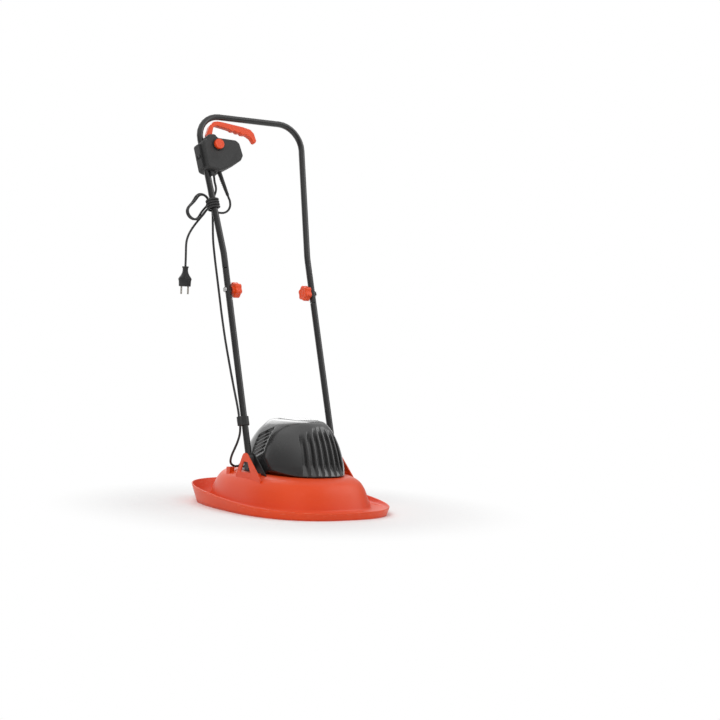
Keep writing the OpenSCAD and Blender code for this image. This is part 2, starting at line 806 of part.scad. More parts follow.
module knob(side) {
    lobe_d = knob_d * knob_lobe_share;
    color(orange) on_leg(side) translate([0, 0, joint_t]) rotate([0, -90, 0]) difference() {
        union() {
            translate([0, 0, knob_seat]) cylinder(d = knob_neck_d, h = knob_neck_t);
            translate([0, 0, knob_seat + knob_neck_t]) {
                cylinder(d = knob_d * knob_core_share, h = knob_t);
                for (i = [0 : knob_lobes - 1]) rotate(360 * i / knob_lobes)
                    translate([(knob_d - lobe_d) / 2, 0, 0]) cylinder(d = lobe_d, h = knob_t);
            }
        }
        cylinder(d = bolt_d + 2 * run_gap, h = bolt_reach + move_gap);
    }
}
module knob_right() {
    knob(right);
}
module knob_left() {
    knob(left);
}

// Upper handle: one tube bent into a flaring U
flare_t = joint_t + flare_rise;
flare_angle = atan((bar_x - leg_x) / (bar_t - flare_t));
flare_cut = flare_r * tan(flare_angle / 2);
corner_cut = corner_r * tan((90 + flare_angle) / 2);
function leg_at(t) = leg_x + max(t - flare_t, 0) * tan(flare_angle);

bow_sides = 24;
bow_steps = 8;
bow_start = flare_t - flare_cut - tube_d / 2;
corner_start = [bar_x, 0, bar_t] - corner_cut * [sin(flare_angle), 0, cos(flare_angle)];
corner_middle = corner_start + corner_r * [-cos(flare_angle), 0, sin(flare_angle)];
function arc_points(middle, r, from, to, steps) =
    [for (i = [0 : steps]) let (a = mix(from, to, i / steps)) middle + r * [cos(a), 0, sin(a)]];
bow_half = concat([[leg_x, 0, bow_start + run_gap]],
    arc_points([leg_x + flare_r, 0, flare_t - flare_cut], flare_r, 180, 180 - flare_angle, 2),
    arc_points(corner_middle, corner_r, -flare_angle, 90, bow_steps));
bow_route = concat(bow_half, [for (i = [len(bow_half) - 1 : -1 : 0]) [-bow_half[i].x, 0, bow_half[i].z]]);
function bow_rings(d) = tube_rings(bow_route, d, bow_sides, [0, 1, 0]);
bow_inner = bow_rings(tube_d - 2 * tube_wall);

module upper_leg() {
    translate([leg_x, 0, 0]) difference() {
        union() {
            translate([0, 0, joint_t - lap_below]) half_lap(lap_high - joint_t + lap_below + over, -1);
            translate([0, 0, lap_high]) straight_tube(bow_start - lap_high);
            translate([0, 0, bow_start]) tube_plug();
        }
        joint_hole();
    }
}
module upper_tube() {
    color(charcoal) on_handle() {
        skin(concat(bow_rings(tube_d), [for (i = [len(bow_inner) - 1 : -1 : 0]) bow_inner[i]]), closed = true);
        for (side = [right, left]) mirror([side < 0 ? 1 : 0, 0, 0]) upper_leg();
    }
}

// Clip that holds the motor cable to the right-hand leg
clip_t = 94;
clip_h = 22;
clip_wall = 3.2;
clip_cable = tube_d / 2 + cord_d / 2 + clip_wall;
module cable_clip() {
    color(black) on_leg(right) translate([0, 0, clip_t - clip_h / 2]) linear_extrude(clip_h) difference() {
        union() {
            circle(d = tube_d + 2 * clip_wall);
            translate([clip_cable, 0]) circle(d = cord_d + 2 * clip_wall);
            translate([0, -cord_d / 2 - clip_wall]) square([clip_cable, cord_d + 2 * clip_wall]);
        }
        circle(d = tube_d + 2 * run_gap);
        translate([clip_cable, 0]) circle(d = cord_d + 2 * seat_gap);
    }
}

// Switch box in two halves, clamped round the flared right-hand leg
box_back_x = 10;
box_outline_shares = [[0, 0.1], [0.12, 0.04], [0.3, 0], [0.5, 0.06], [0.92, 0.27], [1, 0.4], [0.97, 0.74],
    [0.89, 0.83], [0.42, 0.9], [0.37, 1], [0.19, 1], [0.14, 0.87], [0, 0.83]];
function box_point(s) = [s[0] * box_w - box_back_x, s[1] * box_h - box_h / 2];
box_outline = [for (s = box_outline_shares) box_point(s)];
strap_t = 6;
strap_low = 36;
strap_h = 62;
strap_depth = 22;
strap_screw_depth = 5.5;
box_post_d = 9;
box_screw_shares = [[0.27, 0.22], [0.87, 0.44], [0.62, 0.72]];
box_screw_places = [for (s = box_screw_shares) box_point(s)];
box_screw_l = 38;
button_share = [0.385, 0.7];
button_place = box_point(button_share);
button_proud = 8;
button_skirt_h = 9;
button_flange = 1.5;
collar_rim = 3.5;
collar_d = button_d + 2 * collar_rim;
collar_t = 2;
spring_post_d = 9;
spring_post_gap = 6;
button_spring_d = 11;
button_spring_wire = 1.4;
button_spring_turns = 4;
lever_pivot_share = [0.307, 0.891];
lever_place = box_point(lever_pivot_share);
lever_back = 7;
lever_outline_shares = [[0, 0], [0.1, 0], [0.11, 0.36], [0.15, 0.7], [0.21, 0.79], [0.47, 0.63], [0.51, 0.57],
    [0.57, 0.59], [0.62, 0.51], [0.68, 0.53], [0.73, 0.45], [0.79, 0.46], [0.87, 0.39], [0.94, 0.09],
    [1, 0.23], [0.96, 0.61], [0.884, 0.79], [0.3, 1], [0.163, 0.965], [0, 0.3]];
lever_eye_d = 17;
lever_pin_d = 5;
lever_pin_boss_d = 10;
lever_pin_boss = 5;
lever_tail_l = 36;
lever_tail_w = 7;
lever_tail_x = -8;
lever_slot_half = 9.5;
lever_slot_drop = 11;
lever_slot_rise = 40;
lever_spring_d = 7;
lever_spring_wire = 1.2;
lever_spring_turns = 4;
switch_gap = 4;
switch_w = 26;
switch_h = 15;
switch_depth = 12;
switch_corner = [lever_tail_x + lever_tail_w + switch_gap, -lever_tail_l - switch_h / 2];
gland_d = 10;
gland_l = 12;
relief_share = [0.4, 0.1];
relief_place = box_point(relief_share);
relief_big_d = 11;
relief_small_d = 7.4;
nub_x = 2;
nub_w = 10;
nub_drop = 9;
nub_front = 16;
nub_depth = 7;

module on_box() {
    on_handle() translate([-leg_at(box_t), 0, box_t]) rotate([0, -flare_angle, 0]) children();
}
// Raises an outline drawn as [x, z] to a slab between two depths, front being negative
module box_slab(front, back) {
    translate([0, back, 0]) rotate([90, 0, 0]) linear_extrude(back - front) children();
}
module on_lever() {
    on_box() translate([lever_place.x, 0, lever_place.y]) rotate([0, flare_angle, 0]) children();
}
module along(a, b) {
    v = b - a;
    translate(a) rotate([0, acos(v.z / norm(v)), atan2(v.y, v.x)]) children();
}
module box_openings() {
    on_box() cylinder(d = tube_d + 2 * run_gap, h = 2 * box_h, center = true);
    on_lever() translate([-lever_slot_half, -lever_t / 2 - move_gap, -lever_slot_drop])
        cube([2 * lever_slot_half, lever_t + 2 * move_gap, lever_slot_drop + lever_slot_rise]);
    on_handle() along(relief_top, lead_route[0]) cylinder(d = relief_big_d + 2 * run_gap, h = relief_big_d);
    on_handle() translate(upper_cable_route[0]) cylinder(d = gland_d + 2 * run_gap, h = gland_l);
}
module box_half(face) {
    wall = face * (box_half_depth - box_wall);
    difference() {
        union() {
            on_box() difference() {
                box_slab(min(0, face * box_half_depth), max(0, face * box_half_depth)) polygon(box_outline);
                box_slab(min(-face * over, wall), max(-face * over, wall))
                    polygon(inset_outline(box_outline, -box_wall));
            }
            on_box() for (p = box_screw_places)
                box_slab(min(0, face * box_half_depth), max(0, face * box_half_depth))
                    translate(p) circle(d = box_post_d);
            on_box() intersection() {
                box_slab(min(0, wall), max(0, wall)) polygon(box_outline);
                cylinder(d = tube_d + 2 * box_wall, h = 2 * box_h, center = true);
            }
            on_lever() box_slab(min(wall - face * lever_pin_boss, wall), max(wall - face * lever_pin_boss, wall))
                circle(d = lever_pin_boss_d);
            children();
        }
        box_openings();
        on_lever() box_slab(-box_half_depth + box_wall, box_half_depth - box_wall)
            circle(d = lever_pin_d + 2 * run_gap);
        on_box() for (p = box_screw_places)
            box_slab(box_half_depth - box_screw_l - over, box_half_depth + over)
                translate(p) circle(d = screw_hole_d);
    }
}
module switch_box_front() {
    color(charcoal) difference() {
        box_half(-1);
        on_box() box_slab(-box_half_depth - over, 0) translate(button_place) circle(d = button_d + 2 * move_gap);
    }
}
module switch_box_rear() {
    color(charcoal) box_half(1) {
        on_box() box_slab(-spring_post_gap, box_half_depth - box_wall / 2) translate(button_place)
            circle(d = spring_post_d);
        on_lever() box_slab(switch_depth / 2 + run_gap, box_half_depth - box_wall / 2) translate(switch_corner)
            square([switch_w, switch_h]);
    }
}
module box_clamp_strap() {
    color(charcoal) on_box() difference() {
        translate([-box_back_x - strap_t, -strap_depth / 2, -strap_low]) cube([strap_t, strap_depth, strap_h]);
        for (y = [-strap_screw_depth, strap_screw_depth])
            translate([-box_back_x - strap_t - over, y, strap_h / 2 - strap_low]) rotate([0, 90, 0])
                cylinder(d = screw_hole_d, h = strap_t + 2 * over);
    }
}
module box_screws() {
    color(steel) on_box() {
        for (p = box_screw_places) translate([p.x, box_half_depth, p.y]) rotate([90, 0, 0]) screw(box_screw_l);
        for (y = [-strap_screw_depth, strap_screw_depth])
            translate([-box_back_x - strap_t, y, strap_h / 2 - strap_low]) rotate([0, 90, 0]) screw(strap_t - over);
    }
}
module microswitch() {
    color(black) on_lever() box_slab(-switch_depth / 2, switch_depth / 2) translate(switch_corner)
        square([switch_w, switch_h]);
}
module lever_pin() {
    reach = box_half_depth - box_wall - run_gap;
    color(steel) on_lever() rotate([90, 0, 0]) cylinder(d = lever_pin_d, h = 2 * reach, center = true);
}
module switch_lever() {
    outline = [for (s = lever_outline_shares) [s[0] * lever_l - lever_back, s[1] * lever_h]];
    color(orange) on_lever() difference() {
        union() {
            box_slab(-lever_t / 2, lever_t / 2) polygon(outline);
            box_slab(-lever_t / 2, lever_t / 2) circle(d = lever_eye_d);
            box_slab(-lever_t / 2, lever_t / 2) translate([lever_tail_x, -lever_tail_l])
                square([lever_tail_w, lever_tail_l]);
        }
        rotate([90, 0, 0]) cylinder(d = lever_pin_d + 2 * run_gap, h = 2 * lever_t, center = true);
    }
}
coil_sides = 6;
coil_rings = 8;
function helix(r, pitch, turns, rings) =
    [for (i = [0 : rings * turns]) [r * cos(360 * i / rings), r * sin(360 * i / rings), pitch * i / rings]];
module lever_spring() {
    room = lever_t / 2 + move_gap + lever_spring_wire;
    pitch = lever_spring_wire + move_gap;
    route = helix(lever_spring_d / 2, pitch, lever_spring_turns, coil_rings);
    color(steel) on_lever() translate([0, room, 0]) rotate([-90, 0, 0])
        tube_along(route, lever_spring_wire, coil_sides, [1, 0, 0]);
}
module lock_button() {
    inside = -box_half_depth + box_wall + move_gap;
    color(orange) on_box() translate([button_place.x, 0, button_place.y]) {
        box_slab(-box_half_depth - button_proud, -box_half_depth + button_skirt_h) circle(d = button_d);
        box_slab(inside, inside + button_flange) circle(d = button_d + 2 * button_flange);
    }
}
module button_collar() {
    color(black) on_box() difference() {
        box_slab(-box_half_depth - collar_t, -box_half_depth) translate(button_place) circle(d = collar_d);
        box_slab(-box_half_depth - collar_t - over, -box_half_depth + over) translate(button_place)
            circle(d = button_d + 2 * move_gap);
    }
}
module button_spring() {
    front = -box_half_depth + button_skirt_h + button_spring_wire / 2 + seat_gap;
    back = -spring_post_gap - button_spring_wire / 2 - seat_gap;
    route = helix(button_spring_d / 2, (back - front) / button_spring_turns, button_spring_turns, coil_rings);
    color(steel) on_box() translate([button_place.x, front, button_place.y]) rotate([-90, 0, 0])
        tube_along(route, button_spring_wire, coil_sides, [1, 0, 0]);
}
module strain_relief() {
    color(black) on_handle() along(relief_top, lead_route[0]) {
        cylinder(d = relief_big_d, h = relief_big_d);
        translate([0, 0, relief_big_d]) cylinder(d1 = relief_big_d, d2 = relief_small_d,
            h = norm(lead_route[0] - relief_top) - relief_big_d);
    }
}
module motor_cable_gland() {
    color(black) on_handle() translate(upper_cable_route[0]) cylinder(d = gland_d, h = gland_l);
}
module cord_hook() {
    color(black) on_box() difference() {
        translate([nub_x, -nub_front, -box_h / 2 - nub_drop]) cube([nub_w, nub_depth, nub_drop + box_h / 4]);
        box_slab(-box_half_depth, box_half_depth) polygon(inset_outline(box_outline, run_gap));
    }
}

// Cords, with routes drawn in the handle's frame unless they say otherwise
cord_sides = 10;
loop_sides = 6;
loop_rings = 24;
cable_steps = 2;
handle_up = [0, sin(lean), cos(lean)];
handle_back = [0, cos(lean), -sin(lean)];
function off_handle(p) = [p.x, pivot_y, pivot_z] + p.y * handle_back + p.z * handle_up;
function off_box(p) = [p.x * cos(flare_angle) - p.z * sin(flare_angle) - leg_at(box_t), p.y,
    p.x * sin(flare_angle) + p.z * cos(flare_angle) + box_t];
relief_top = off_box([relief_place.x, 0, relief_place.y]);
upper_cable_route = [[-126, 0, 728], [-126, 0, 720], [-126, 0, 712], [-122, 4, 694], [-126, 9, 678],
    [-136, 11, 666], [-136, 11.5, 650], [-136, 12, 630], [-137, 16, 600], [-139, 20, 560], [-139, 22, 510],
    [-139, 22, 470], [-139, 22, 428]];
lower_cable_leg = [[-139, 22, 428], [-139, 22, 400], [-139, 22, 370], [-139, 20, 310], [-139, 15, 250],
    [-139, 8, 185], [-139, 2, 140], [-139, 0, 118], [-139, 0, 98], [-139, 0, 80]];
lower_cable_deck = [[-139, 17, 180], [-139, 25, 162], [-138, 38, 145], [-136, 54, 127], [-130, 70, 111],
    [-120, 82, 101], [-108, 86, 95], [-101, 86, 95], [-94, 86, 95]];
lead_route = [[-92, 0, 677], [-90, 0, 670], [-88, 0, 663], [-88, 2, 650], [-94, 6, 639], [-104, 10, 634],
    [-116, 14, 635], [-126, 17.2, 638.5], [-131, 17.8, 639.6], [-135.6, 17.8, 639.98]];
tail_route = [[-138.3, 32, 648.1], [-142.1, 32, 644], [-152, 34.5, 632], [-168, 37.5, 616], [-184, 40.5, 598],
    [-196, 43, 580], [-203, 44, 563]];
tail_drop = [[-206, 197, 636], [-206, 196, 610], [-206, 196, 597], [-206, 196, 584]];
tie_gap = 0.8;
tie_back = 3.3;
tie_r = 14.5;
tie_pitch = cord_d + tie_gap;
tie_low = 640;
tie_steps = 4;
hank_step = 7;
hank_draw = 1;
hank_place = [-165, 25, 652];
hank_along = unit([-0.68, 0, -0.73]);
hank_across = unit([0.73, 0, -0.68]);
hank_run = hank_l / 2 - hank_w / 2;
hank_out = hank_w / 2 - cord_d / 2;

module cord(route, start) {
    tube_along(smooth(route, cable_steps), cord_d, cord_sides, start);
}
module motor_cable_upper() {
    color(black) on_handle() cord(upper_cable_route, [1, 0, 0]);
}
module motor_cable_lower() {
    color(black) cord(concat([for (p = lower_cable_leg) off_handle(p)], lower_cable_deck), [1, 0, 0]);
}
module mains_lead_loop() {
    color(black) on_handle() cord(lead_route, [0, 1, 0]);
}
module mains_tail() {
    color(black) cord(concat([for (p = tail_route) off_handle(p)], tail_drop), [0, 1, 0]);
}

// Turns of the lead round the leg and the motor cable, then the way out to the hank
function tie_point(s) =
    let (t = tie_low + tie_pitch * s, a = 360 * s)
    [-leg_at(t) - tie_r * sin(a), tie_back + tie_r * cos(a), t];
tie_exit = hank_place + (-hank_run - cord_d) * hank_along + hank_out * hank_across;
tie_end = [-121.5, 13, 666.5];
tie_bend = [-122.6, 20.5, 664.6];
tie_quarters = 4 * tie_turns - 1;
tie_route = concat([for (i = [0 : loop_rings * tie_quarters / 4]) tie_point(i / loop_rings)],
    smooth([tie_end, tie_bend, tie_exit - cord_d * hank_along, tie_exit], tie_steps));
module leg_tie() {
    color(black) on_handle() tube_along(tie_route, cord_d, loop_sides, [0, 0, 1]);
}

// Hank: loops that spiral in and out again, with a climb to the second layer in the half turn between
function hank_half(u) = hank_out - hank_step * hank_loops / 2 * (1 - abs(2 * u - 1));
hank_middle_share = 0.5;
function hank_layer(u) = hank_step
    * ease(min(max((u - hank_middle_share) * 2 * hank_loops + hank_middle_share, 0), 1));
function hank_flat(u) =
    let (s = 4 * (u * hank_loops - floor(u * hank_loops)), quarter = floor(s), f = s - quarter, w = hank_half(u))
    let (waist = w - hank_draw * pow(sin(180 * f), 2))
    quarter == 0 ? [mix(-hank_run, hank_run, f), waist]
    : quarter == 1 ? [hank_run + w * sin(180 * f), w * cos(180 * f)]
    : quarter == 2 ? [mix(hank_run, -hank_run, f), -waist]
    : [-hank_run - w * sin(180 * f), -w * cos(180 * f)];
function hank_point(flat, layer) =
    hank_place + flat.x * hank_along + flat.y * hank_across + [0, layer, 0];
hank_rings = loop_rings * hank_loops;
hank_route = concat([hank_point([-hank_run - cord_d, hank_out], 0)],
    [for (i = [0 : hank_rings - 1]) hank_point(hank_flat(i / hank_rings), hank_layer(i / hank_rings))],
    [for (x = [0, cord_d]) hank_point([-hank_run + x, hank_out], hank_step)]);
module mains_hank() {
    color(black) on_handle() tube_along(hank_route, cord_d, loop_sides, [0, 1, 0]);
}
echo(least_gap_of_tie = least_gap(tie_route, cord_d, loop_rings / 2));
echo(least_gap_of_hank = least_gap(hank_route, cord_d, loop_rings / 2));

// Plug that hangs from the end of the lead
plug_top = tail_drop[len(tail_drop) - 1];
plug_neck_d = 11;
plug_neck_l = 14;
plug_w = 35;
plug_h = 36;
plug_t = 17;
plug_shares = [[-0.22, 1], [-0.5, 0.66], [-0.5, 0], [0.5, 0], [0.5, 0.66], [0.22, 1]];
plug_pin_l = 19;
plug_pin_seat = 8;
plug_pin_shoulder = 0.3;
plug_root_d = 4;
module at_plug_pins(z) {
    for (side = [right, left]) translate([side * plug_pin_pitch / 2, 0, z]) children();
}
module on_plug() {
    translate(plug_top - [0, 0, plug_neck_l + plug_h]) children();
}
module plug_body() {
    color(black) on_plug() difference() {
        union() {
            translate([0, 0, plug_h - over]) cylinder(d = plug_neck_d, h = plug_neck_l + over);
            box_slab(-plug_t / 2, plug_t / 2) polygon([for (s = plug_shares) [s[0] * plug_w, s[1] * plug_h]]);
        }
        at_plug_pins(-over) cylinder(d = plug_root_d + 2 * run_gap, h = plug_pin_seat + over);
    }
}
module plug_pins() {
    color(steel) on_plug() {
        at_plug_pins(-plug_pin_l) cylinder(d = plug_pin_d, h = plug_pin_l - plug_pin_shoulder);
        at_plug_pins(-plug_pin_l) cylinder(d = plug_root_d, h = plug_pin_l + plug_pin_seat);
    }
}

deck_hood();
motor_cover();
cover_top_plate();
cover_screws();
motor_mount();
mount_screws();
motor_can();
motor_end_cap();
stator();
carbon_brushes();
lower_bearing();
upper_bearing();
motor_shaft();
armature();
commutator();
impeller_fan();
blade_spacers();
cutting_blade();
blade_washer();
blade_bolt();
handle_bracket_right();
handle_bracket_left();
bracket_plate_right();
bracket_plate_left();
bracket_screws();
pivot_pins();
cable_hook();
cable_grommet();
tube_ferrule_right();
tube_ferrule_left();
lower_tube_right();
lower_tube_left();
joint_bolt_right();
joint_bolt_left();
knob_right();
knob_left();
cable_clip();
upper_tube();
switch_box_front();
switch_box_rear();
box_clamp_strap();
box_screws();
microswitch();
lever_pin();
switch_lever();
lever_spring();
lock_button();
button_collar();
button_spring();
strain_relief();
motor_cable_gland();
cord_hook();
motor_cable_upper();
motor_cable_lower();
mains_lead_loop();
leg_tie();
mains_hank();
mains_tail();
plug_body();
plug_pins();
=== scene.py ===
"""Electric hover mower: finishes, lead, cable, deck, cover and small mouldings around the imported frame."""
import math

import bmesh
import bpy
from mathutils import Matrix, Vector


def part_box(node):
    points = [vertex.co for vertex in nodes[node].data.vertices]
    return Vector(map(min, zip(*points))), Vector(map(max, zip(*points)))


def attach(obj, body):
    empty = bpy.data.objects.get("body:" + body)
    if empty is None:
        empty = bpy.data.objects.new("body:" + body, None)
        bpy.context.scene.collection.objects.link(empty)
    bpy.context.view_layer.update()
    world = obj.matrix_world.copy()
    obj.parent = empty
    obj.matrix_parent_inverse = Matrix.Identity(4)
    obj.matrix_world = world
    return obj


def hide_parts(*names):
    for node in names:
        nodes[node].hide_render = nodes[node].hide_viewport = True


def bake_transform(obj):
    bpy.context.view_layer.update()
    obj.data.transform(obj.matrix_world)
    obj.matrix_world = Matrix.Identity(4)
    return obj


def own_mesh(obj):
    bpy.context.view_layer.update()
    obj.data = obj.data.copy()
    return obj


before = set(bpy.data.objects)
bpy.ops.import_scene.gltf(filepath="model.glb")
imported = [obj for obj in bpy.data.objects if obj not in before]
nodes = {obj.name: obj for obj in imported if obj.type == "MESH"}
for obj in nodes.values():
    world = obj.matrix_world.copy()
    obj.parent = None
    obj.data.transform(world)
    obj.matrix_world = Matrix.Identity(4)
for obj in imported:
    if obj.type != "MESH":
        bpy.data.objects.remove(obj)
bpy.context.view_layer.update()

# Handle frame, in millimetres: x across, y rearwards, t along the legs from the pivot
MM = 0.001
LEAN = math.radians(17.5)
PIVOT = Vector((0, -0.008, 0.122))
HANDLE_UP = Vector((0, math.sin(LEAN), math.cos(LEAN)))
HANDLE_BACK = Vector((0, math.cos(LEAN), -math.sin(LEAN)))
LEG_X = 125
FLARE_T = 524
BAR_X = 159
BAR_T = 889
FLARE_SLOPE = (BAR_X - LEG_X) / (BAR_T - FLARE_T)
FLARE = math.atan(FLARE_SLOPE)


def off_handle(x, y, t):
    """A point of the handle frame as a point of the shared frame, in metres."""
    return PIVOT + Vector((x * MM, 0, 0)) + y * MM * HANDLE_BACK + t * MM * HANDLE_UP


def leg_at(t):
    """How far a leg's middle lies from the handle's middle, at a distance from the pivot."""
    return LEG_X + max(t - FLARE_T, 0) * FLARE_SLOPE


def mix(a, b, share):
    return a + (b - a) * share


def ease(share):
    share = min(max(share, 0.0), 1.0)
    return share * share * (3 - 2 * share)


# Node expressions
class Wire:
    """An output socket whose arithmetic adds Math nodes."""

    def __init__(self, owner, socket):
        self.owner = owner
        self.socket = socket

    def maths(self, operation, first, second):
        return self.owner.node("ShaderNodeMath", {"operation": operation}, {0: first, 1: second})

    def __add__(self, other):
        return self.maths("ADD", self, other)

    def __sub__(self, other):
        return self.maths("SUBTRACT", self, other)

    def __rsub__(self, other):
        return self.maths("SUBTRACT", other, self)

    def __mul__(self, other):
        return self.maths("MULTIPLY", self, other)

    def __truediv__(self, other):
        return self.maths("DIVIDE", self, other)

    def __rtruediv__(self, other):
        return self.maths("DIVIDE", other, self)

    __radd__ = __add__
    __rmul__ = __mul__


class NodeTree:
    """A node tree that is filled by one method."""

    def __init__(self, tree):
        self.tree = tree

    def put(self, socket, value):
        if isinstance(value, Wire):
            self.tree.links.new(value.socket, socket)
        else:
            socket.default_value = value

    def node(self, kind, settings=(), inputs=(), output=0):
        made = self.tree.nodes.new(kind)
        for name, value in dict(settings).items():
            setattr(made, name, value)
        for name, value in dict(inputs).items():
            self.put(made.inputs[name], value)
        return Wire(self, made.outputs[output])

    def step(self, value, low, high, start=0.0, end=1.0):
        """Goes smoothly from start to end while the value goes from low to high."""
        inputs = {"Value": value, "From Min": low, "From Max": high, "To Min": start, "To Max": end}
        return self.node("ShaderNodeMapRange", {"interpolation_type": "SMOOTHSTEP"}, inputs)

    def larger(self, first, second):
        return self.node("ShaderNodeMath", {"operation": "MAXIMUM"}, {0: first, 1: second})

    def layers(self, share, first, second):
        return self.node("ShaderNodeMixShader", inputs={0: share, 1: first, 2: second})


class Finish(NodeTree):
    """A procedural material made around one Principled shader."""

    def __init__(self, name):
        self.material = bpy.data.materials.new(name)
        self.material.use_nodes = True
        super().__init__(self.material.node_tree)
        self.shader = next(n for n in self.tree.nodes if n.type == "BSDF_PRINCIPLED")
        self.place = self.node("ShaderNodeTexCoord", output="Object")

    def set(self, **sockets):
        for name, value in sockets.items():
            self.put(self.shader.inputs[name.replace("_", " ")], value)

    def noise(self, scale, detail, stretch=None):
        place = self.place
        if stretch:
            place = self.node("ShaderNodeMapping", inputs={"Vector": place, "Scale": stretch})
        return self.node("ShaderNodeTexNoise", inputs={"Vector": place, "Scale": scale, "Detail": detail})

    def blend(self, share, first, second):
        inputs = {"Factor": share, 6: first, 7: second}
        return self.node("ShaderNodeMix", {"data_type": "RGBA"}, inputs, output=2)

    def bump(self, height, distance, strength):
        inputs = {"Height": height, "Distance": distance, "Strength": strength}
        return self.node("ShaderNodeBump", inputs=inputs)

    def attribute(self, name):
        return self.node("ShaderNodeAttribute", {"attribute_name": name}, output="Fac")

    def distance(self, place):
        return self.node("ShaderNodeVectorMath", {"operation": "LENGTH"}, {0: place}, output="Value")


def grey(level):
    return (level, level, level, 1)


# Finishes
ORANGE = (0.73, 0.060, 0.008, 1)
ORANGE_PALE = (0.77, 0.071, 0.011, 1)
ORANGE_SCUFF = (0.82, 0.20, 0.11, 1)


def moulded(name, colour, pale, roughness, depth, grain=1500.0):
    """Moulded plastic: faint mottling, rubbed patches and a fine spark-eroded grain."""
    rub_roughens = 0.09
    grain_roughens = 0.05
    finish = Finish(name)
    cloud = finish.step(finish.noise(scale=7.0, detail=4.0), low=0.3, high=0.75)
    rub = finish.step(finish.noise(scale=23.0, detail=5.0), low=0.52, high=0.74)
    skin = finish.noise(scale=grain, detail=2.0)
    finish.set(Base_Color=finish.blend(cloud, colour, pale))
    finish.set(Roughness=roughness + rub * rub_roughens + skin * grain_roughens)
    finish.set(Normal=finish.bump(skin, depth, strength=0.5))
    return finish


def worn_orange(name, roughness, depth):
    """Orange hood plastic, scuffed paler where the wear attribute says so."""
    scuff_pales = 0.55
    scuff_roughens = 0.25
    scuff_height = 2
    grain_roughens = 0.06
    finish = Finish(name)
    cloud = finish.step(finish.noise(scale=5.0, detail=4.0), low=0.3, high=0.75)
    skin = finish.noise(scale=900.0, detail=2.0)
    scratch = finish.step(finish.noise(scale=60.0, detail=6.0, stretch=(1, 1, 7)), low=0.55, high=0.7)
    wear = finish.attribute("wear") * scratch
    tone = finish.blend(cloud, ORANGE, ORANGE_PALE)
    finish.set(Base_Color=finish.blend(wear * scuff_pales, tone, ORANGE_SCUFF), Specular_IOR_Level=0.4)
    finish.set(Roughness=roughness + wear * scuff_roughens + skin * grain_roughens)
    finish.set(Normal=finish.bump(skin + scratch * wear * scuff_height, depth, strength=0.5))
    return finish


def painted(name, colour, pale, roughness, depth):
    """Dark stoved paint on steel tube, with a slight orange peel."""
    cloud_roughens = 0.08
    finish = Finish(name)
    peel = finish.noise(scale=260.0, detail=2.0)
    cloud = finish.step(finish.noise(scale=9.0, detail=4.0), low=0.35, high=0.7)
    finish.set(Base_Color=finish.blend(cloud, colour, pale))
    finish.set(Roughness=roughness + cloud * cloud_roughens, Coat_Weight=0.2)
    finish.set(Normal=finish.bump(peel, depth, strength=0.3))
    return finish


def metal(name, colour, pale, roughness, stretch):
    """Machined metal with lines drawn along one direction."""
    lines_roughen = 0.16
    finish = Finish(name)
    lines = finish.noise(scale=420.0, detail=4.0, stretch=stretch)
    finish.set(Base_Color=finish.blend(lines, colour, pale), Metallic=1.0)
    finish.set(Roughness=roughness + lines * lines_roughen)
    finish.set(Normal=finish.bump(lines, distance=0.00003, strength=0.4))
    return finish


def sheath(name, colour, dusty, roughness):
    """Flexible cord sheath with a dull, dusty skin."""
    dust_roughens = 0.14
    finish = Finish(name)
    dust = finish.step(finish.noise(scale=38.0, detail=5.0), low=0.45, high=0.75)
    skin = finish.noise(scale=1400.0, detail=2.0)
    finish.set(Base_Color=finish.blend(dust, colour, dusty))
    finish.set(Roughness=roughness + dust * dust_roughens)
    finish.set(Normal=finish.bump(skin, distance=0.00004, strength=0.4))
    return finish


hood_orange = worn_orange("hood_orange", roughness=0.36, depth=0.00006)
orange = moulded("orange_moulding", ORANGE, ORANGE_PALE, roughness=0.38, depth=0.00004, grain=1200.0)
cover_black = moulded("cover_black", grey(0.02), grey(0.026), roughness=0.2, depth=0.00001)
cover_black.set(Coat_Weight=0.7, Coat_Roughness=0.1)
charcoal = moulded("charcoal_moulding", grey(0.023), grey(0.031), roughness=0.55, depth=0.00008)
black = moulded("black_moulding", grey(0.014), grey(0.021), roughness=0.42, depth=0.00006)
# The button collar is a darker copy of the black moulding: painted shade of the recess round the button.
collar_painted_shade = moulded("collar_painted_shade", grey(0.004), grey(0.006), roughness=0.4, depth=0.00004)
tube_paint = painted("tube_paint", grey(0.013), grey(0.018), roughness=0.22, depth=0.00002)
cord_black = sheath("cord_sheath", grey(0.019), grey(0.0323), roughness=0.5)
steel = metal("drawn_steel", grey(0.42), grey(0.62), roughness=0.24, stretch=(1, 1, 0.06))
dark_steel = metal("blackened_steel", grey(0.05), grey(0.08), roughness=0.3, stretch=(1, 1, 0.06))
silver = metal("satin_plate", grey(0.6), grey(0.74), roughness=0.26, stretch=(1, 0.04, 1))
plated = metal("plated_pins", (0.62, 0.6, 0.54, 1), (0.78, 0.76, 0.7, 1), roughness=0.2,
               stretch=(1, 1, 0.1))
copper = metal("copper", (0.55, 0.24, 0.1, 1), (0.72, 0.38, 0.18, 1), roughness=0.3,
               stretch=(0.1, 0.1, 1))

# Mesh making
EDGE_STEPS = 5
MOST_REACH_SHARE = 0.45
LEAST_REACH_SHARE = 0.25
LOOP_POINTS = 24


def plain_object(name, verts, faces):
    """A mesh object with all its faces turned outward."""
    mesh = bpy.data.meshes.new(name)
    mesh.from_pydata([tuple(v) for v in verts], [], faces)
    work = bmesh.new()
    work.from_mesh(mesh)
    bmesh.ops.recalc_face_normals(work, faces=work.faces)
    work.to_mesh(mesh)
    work.free()
    made = bpy.data.objects.new(name, mesh)
    bpy.context.collection.objects.link(made)
    return made


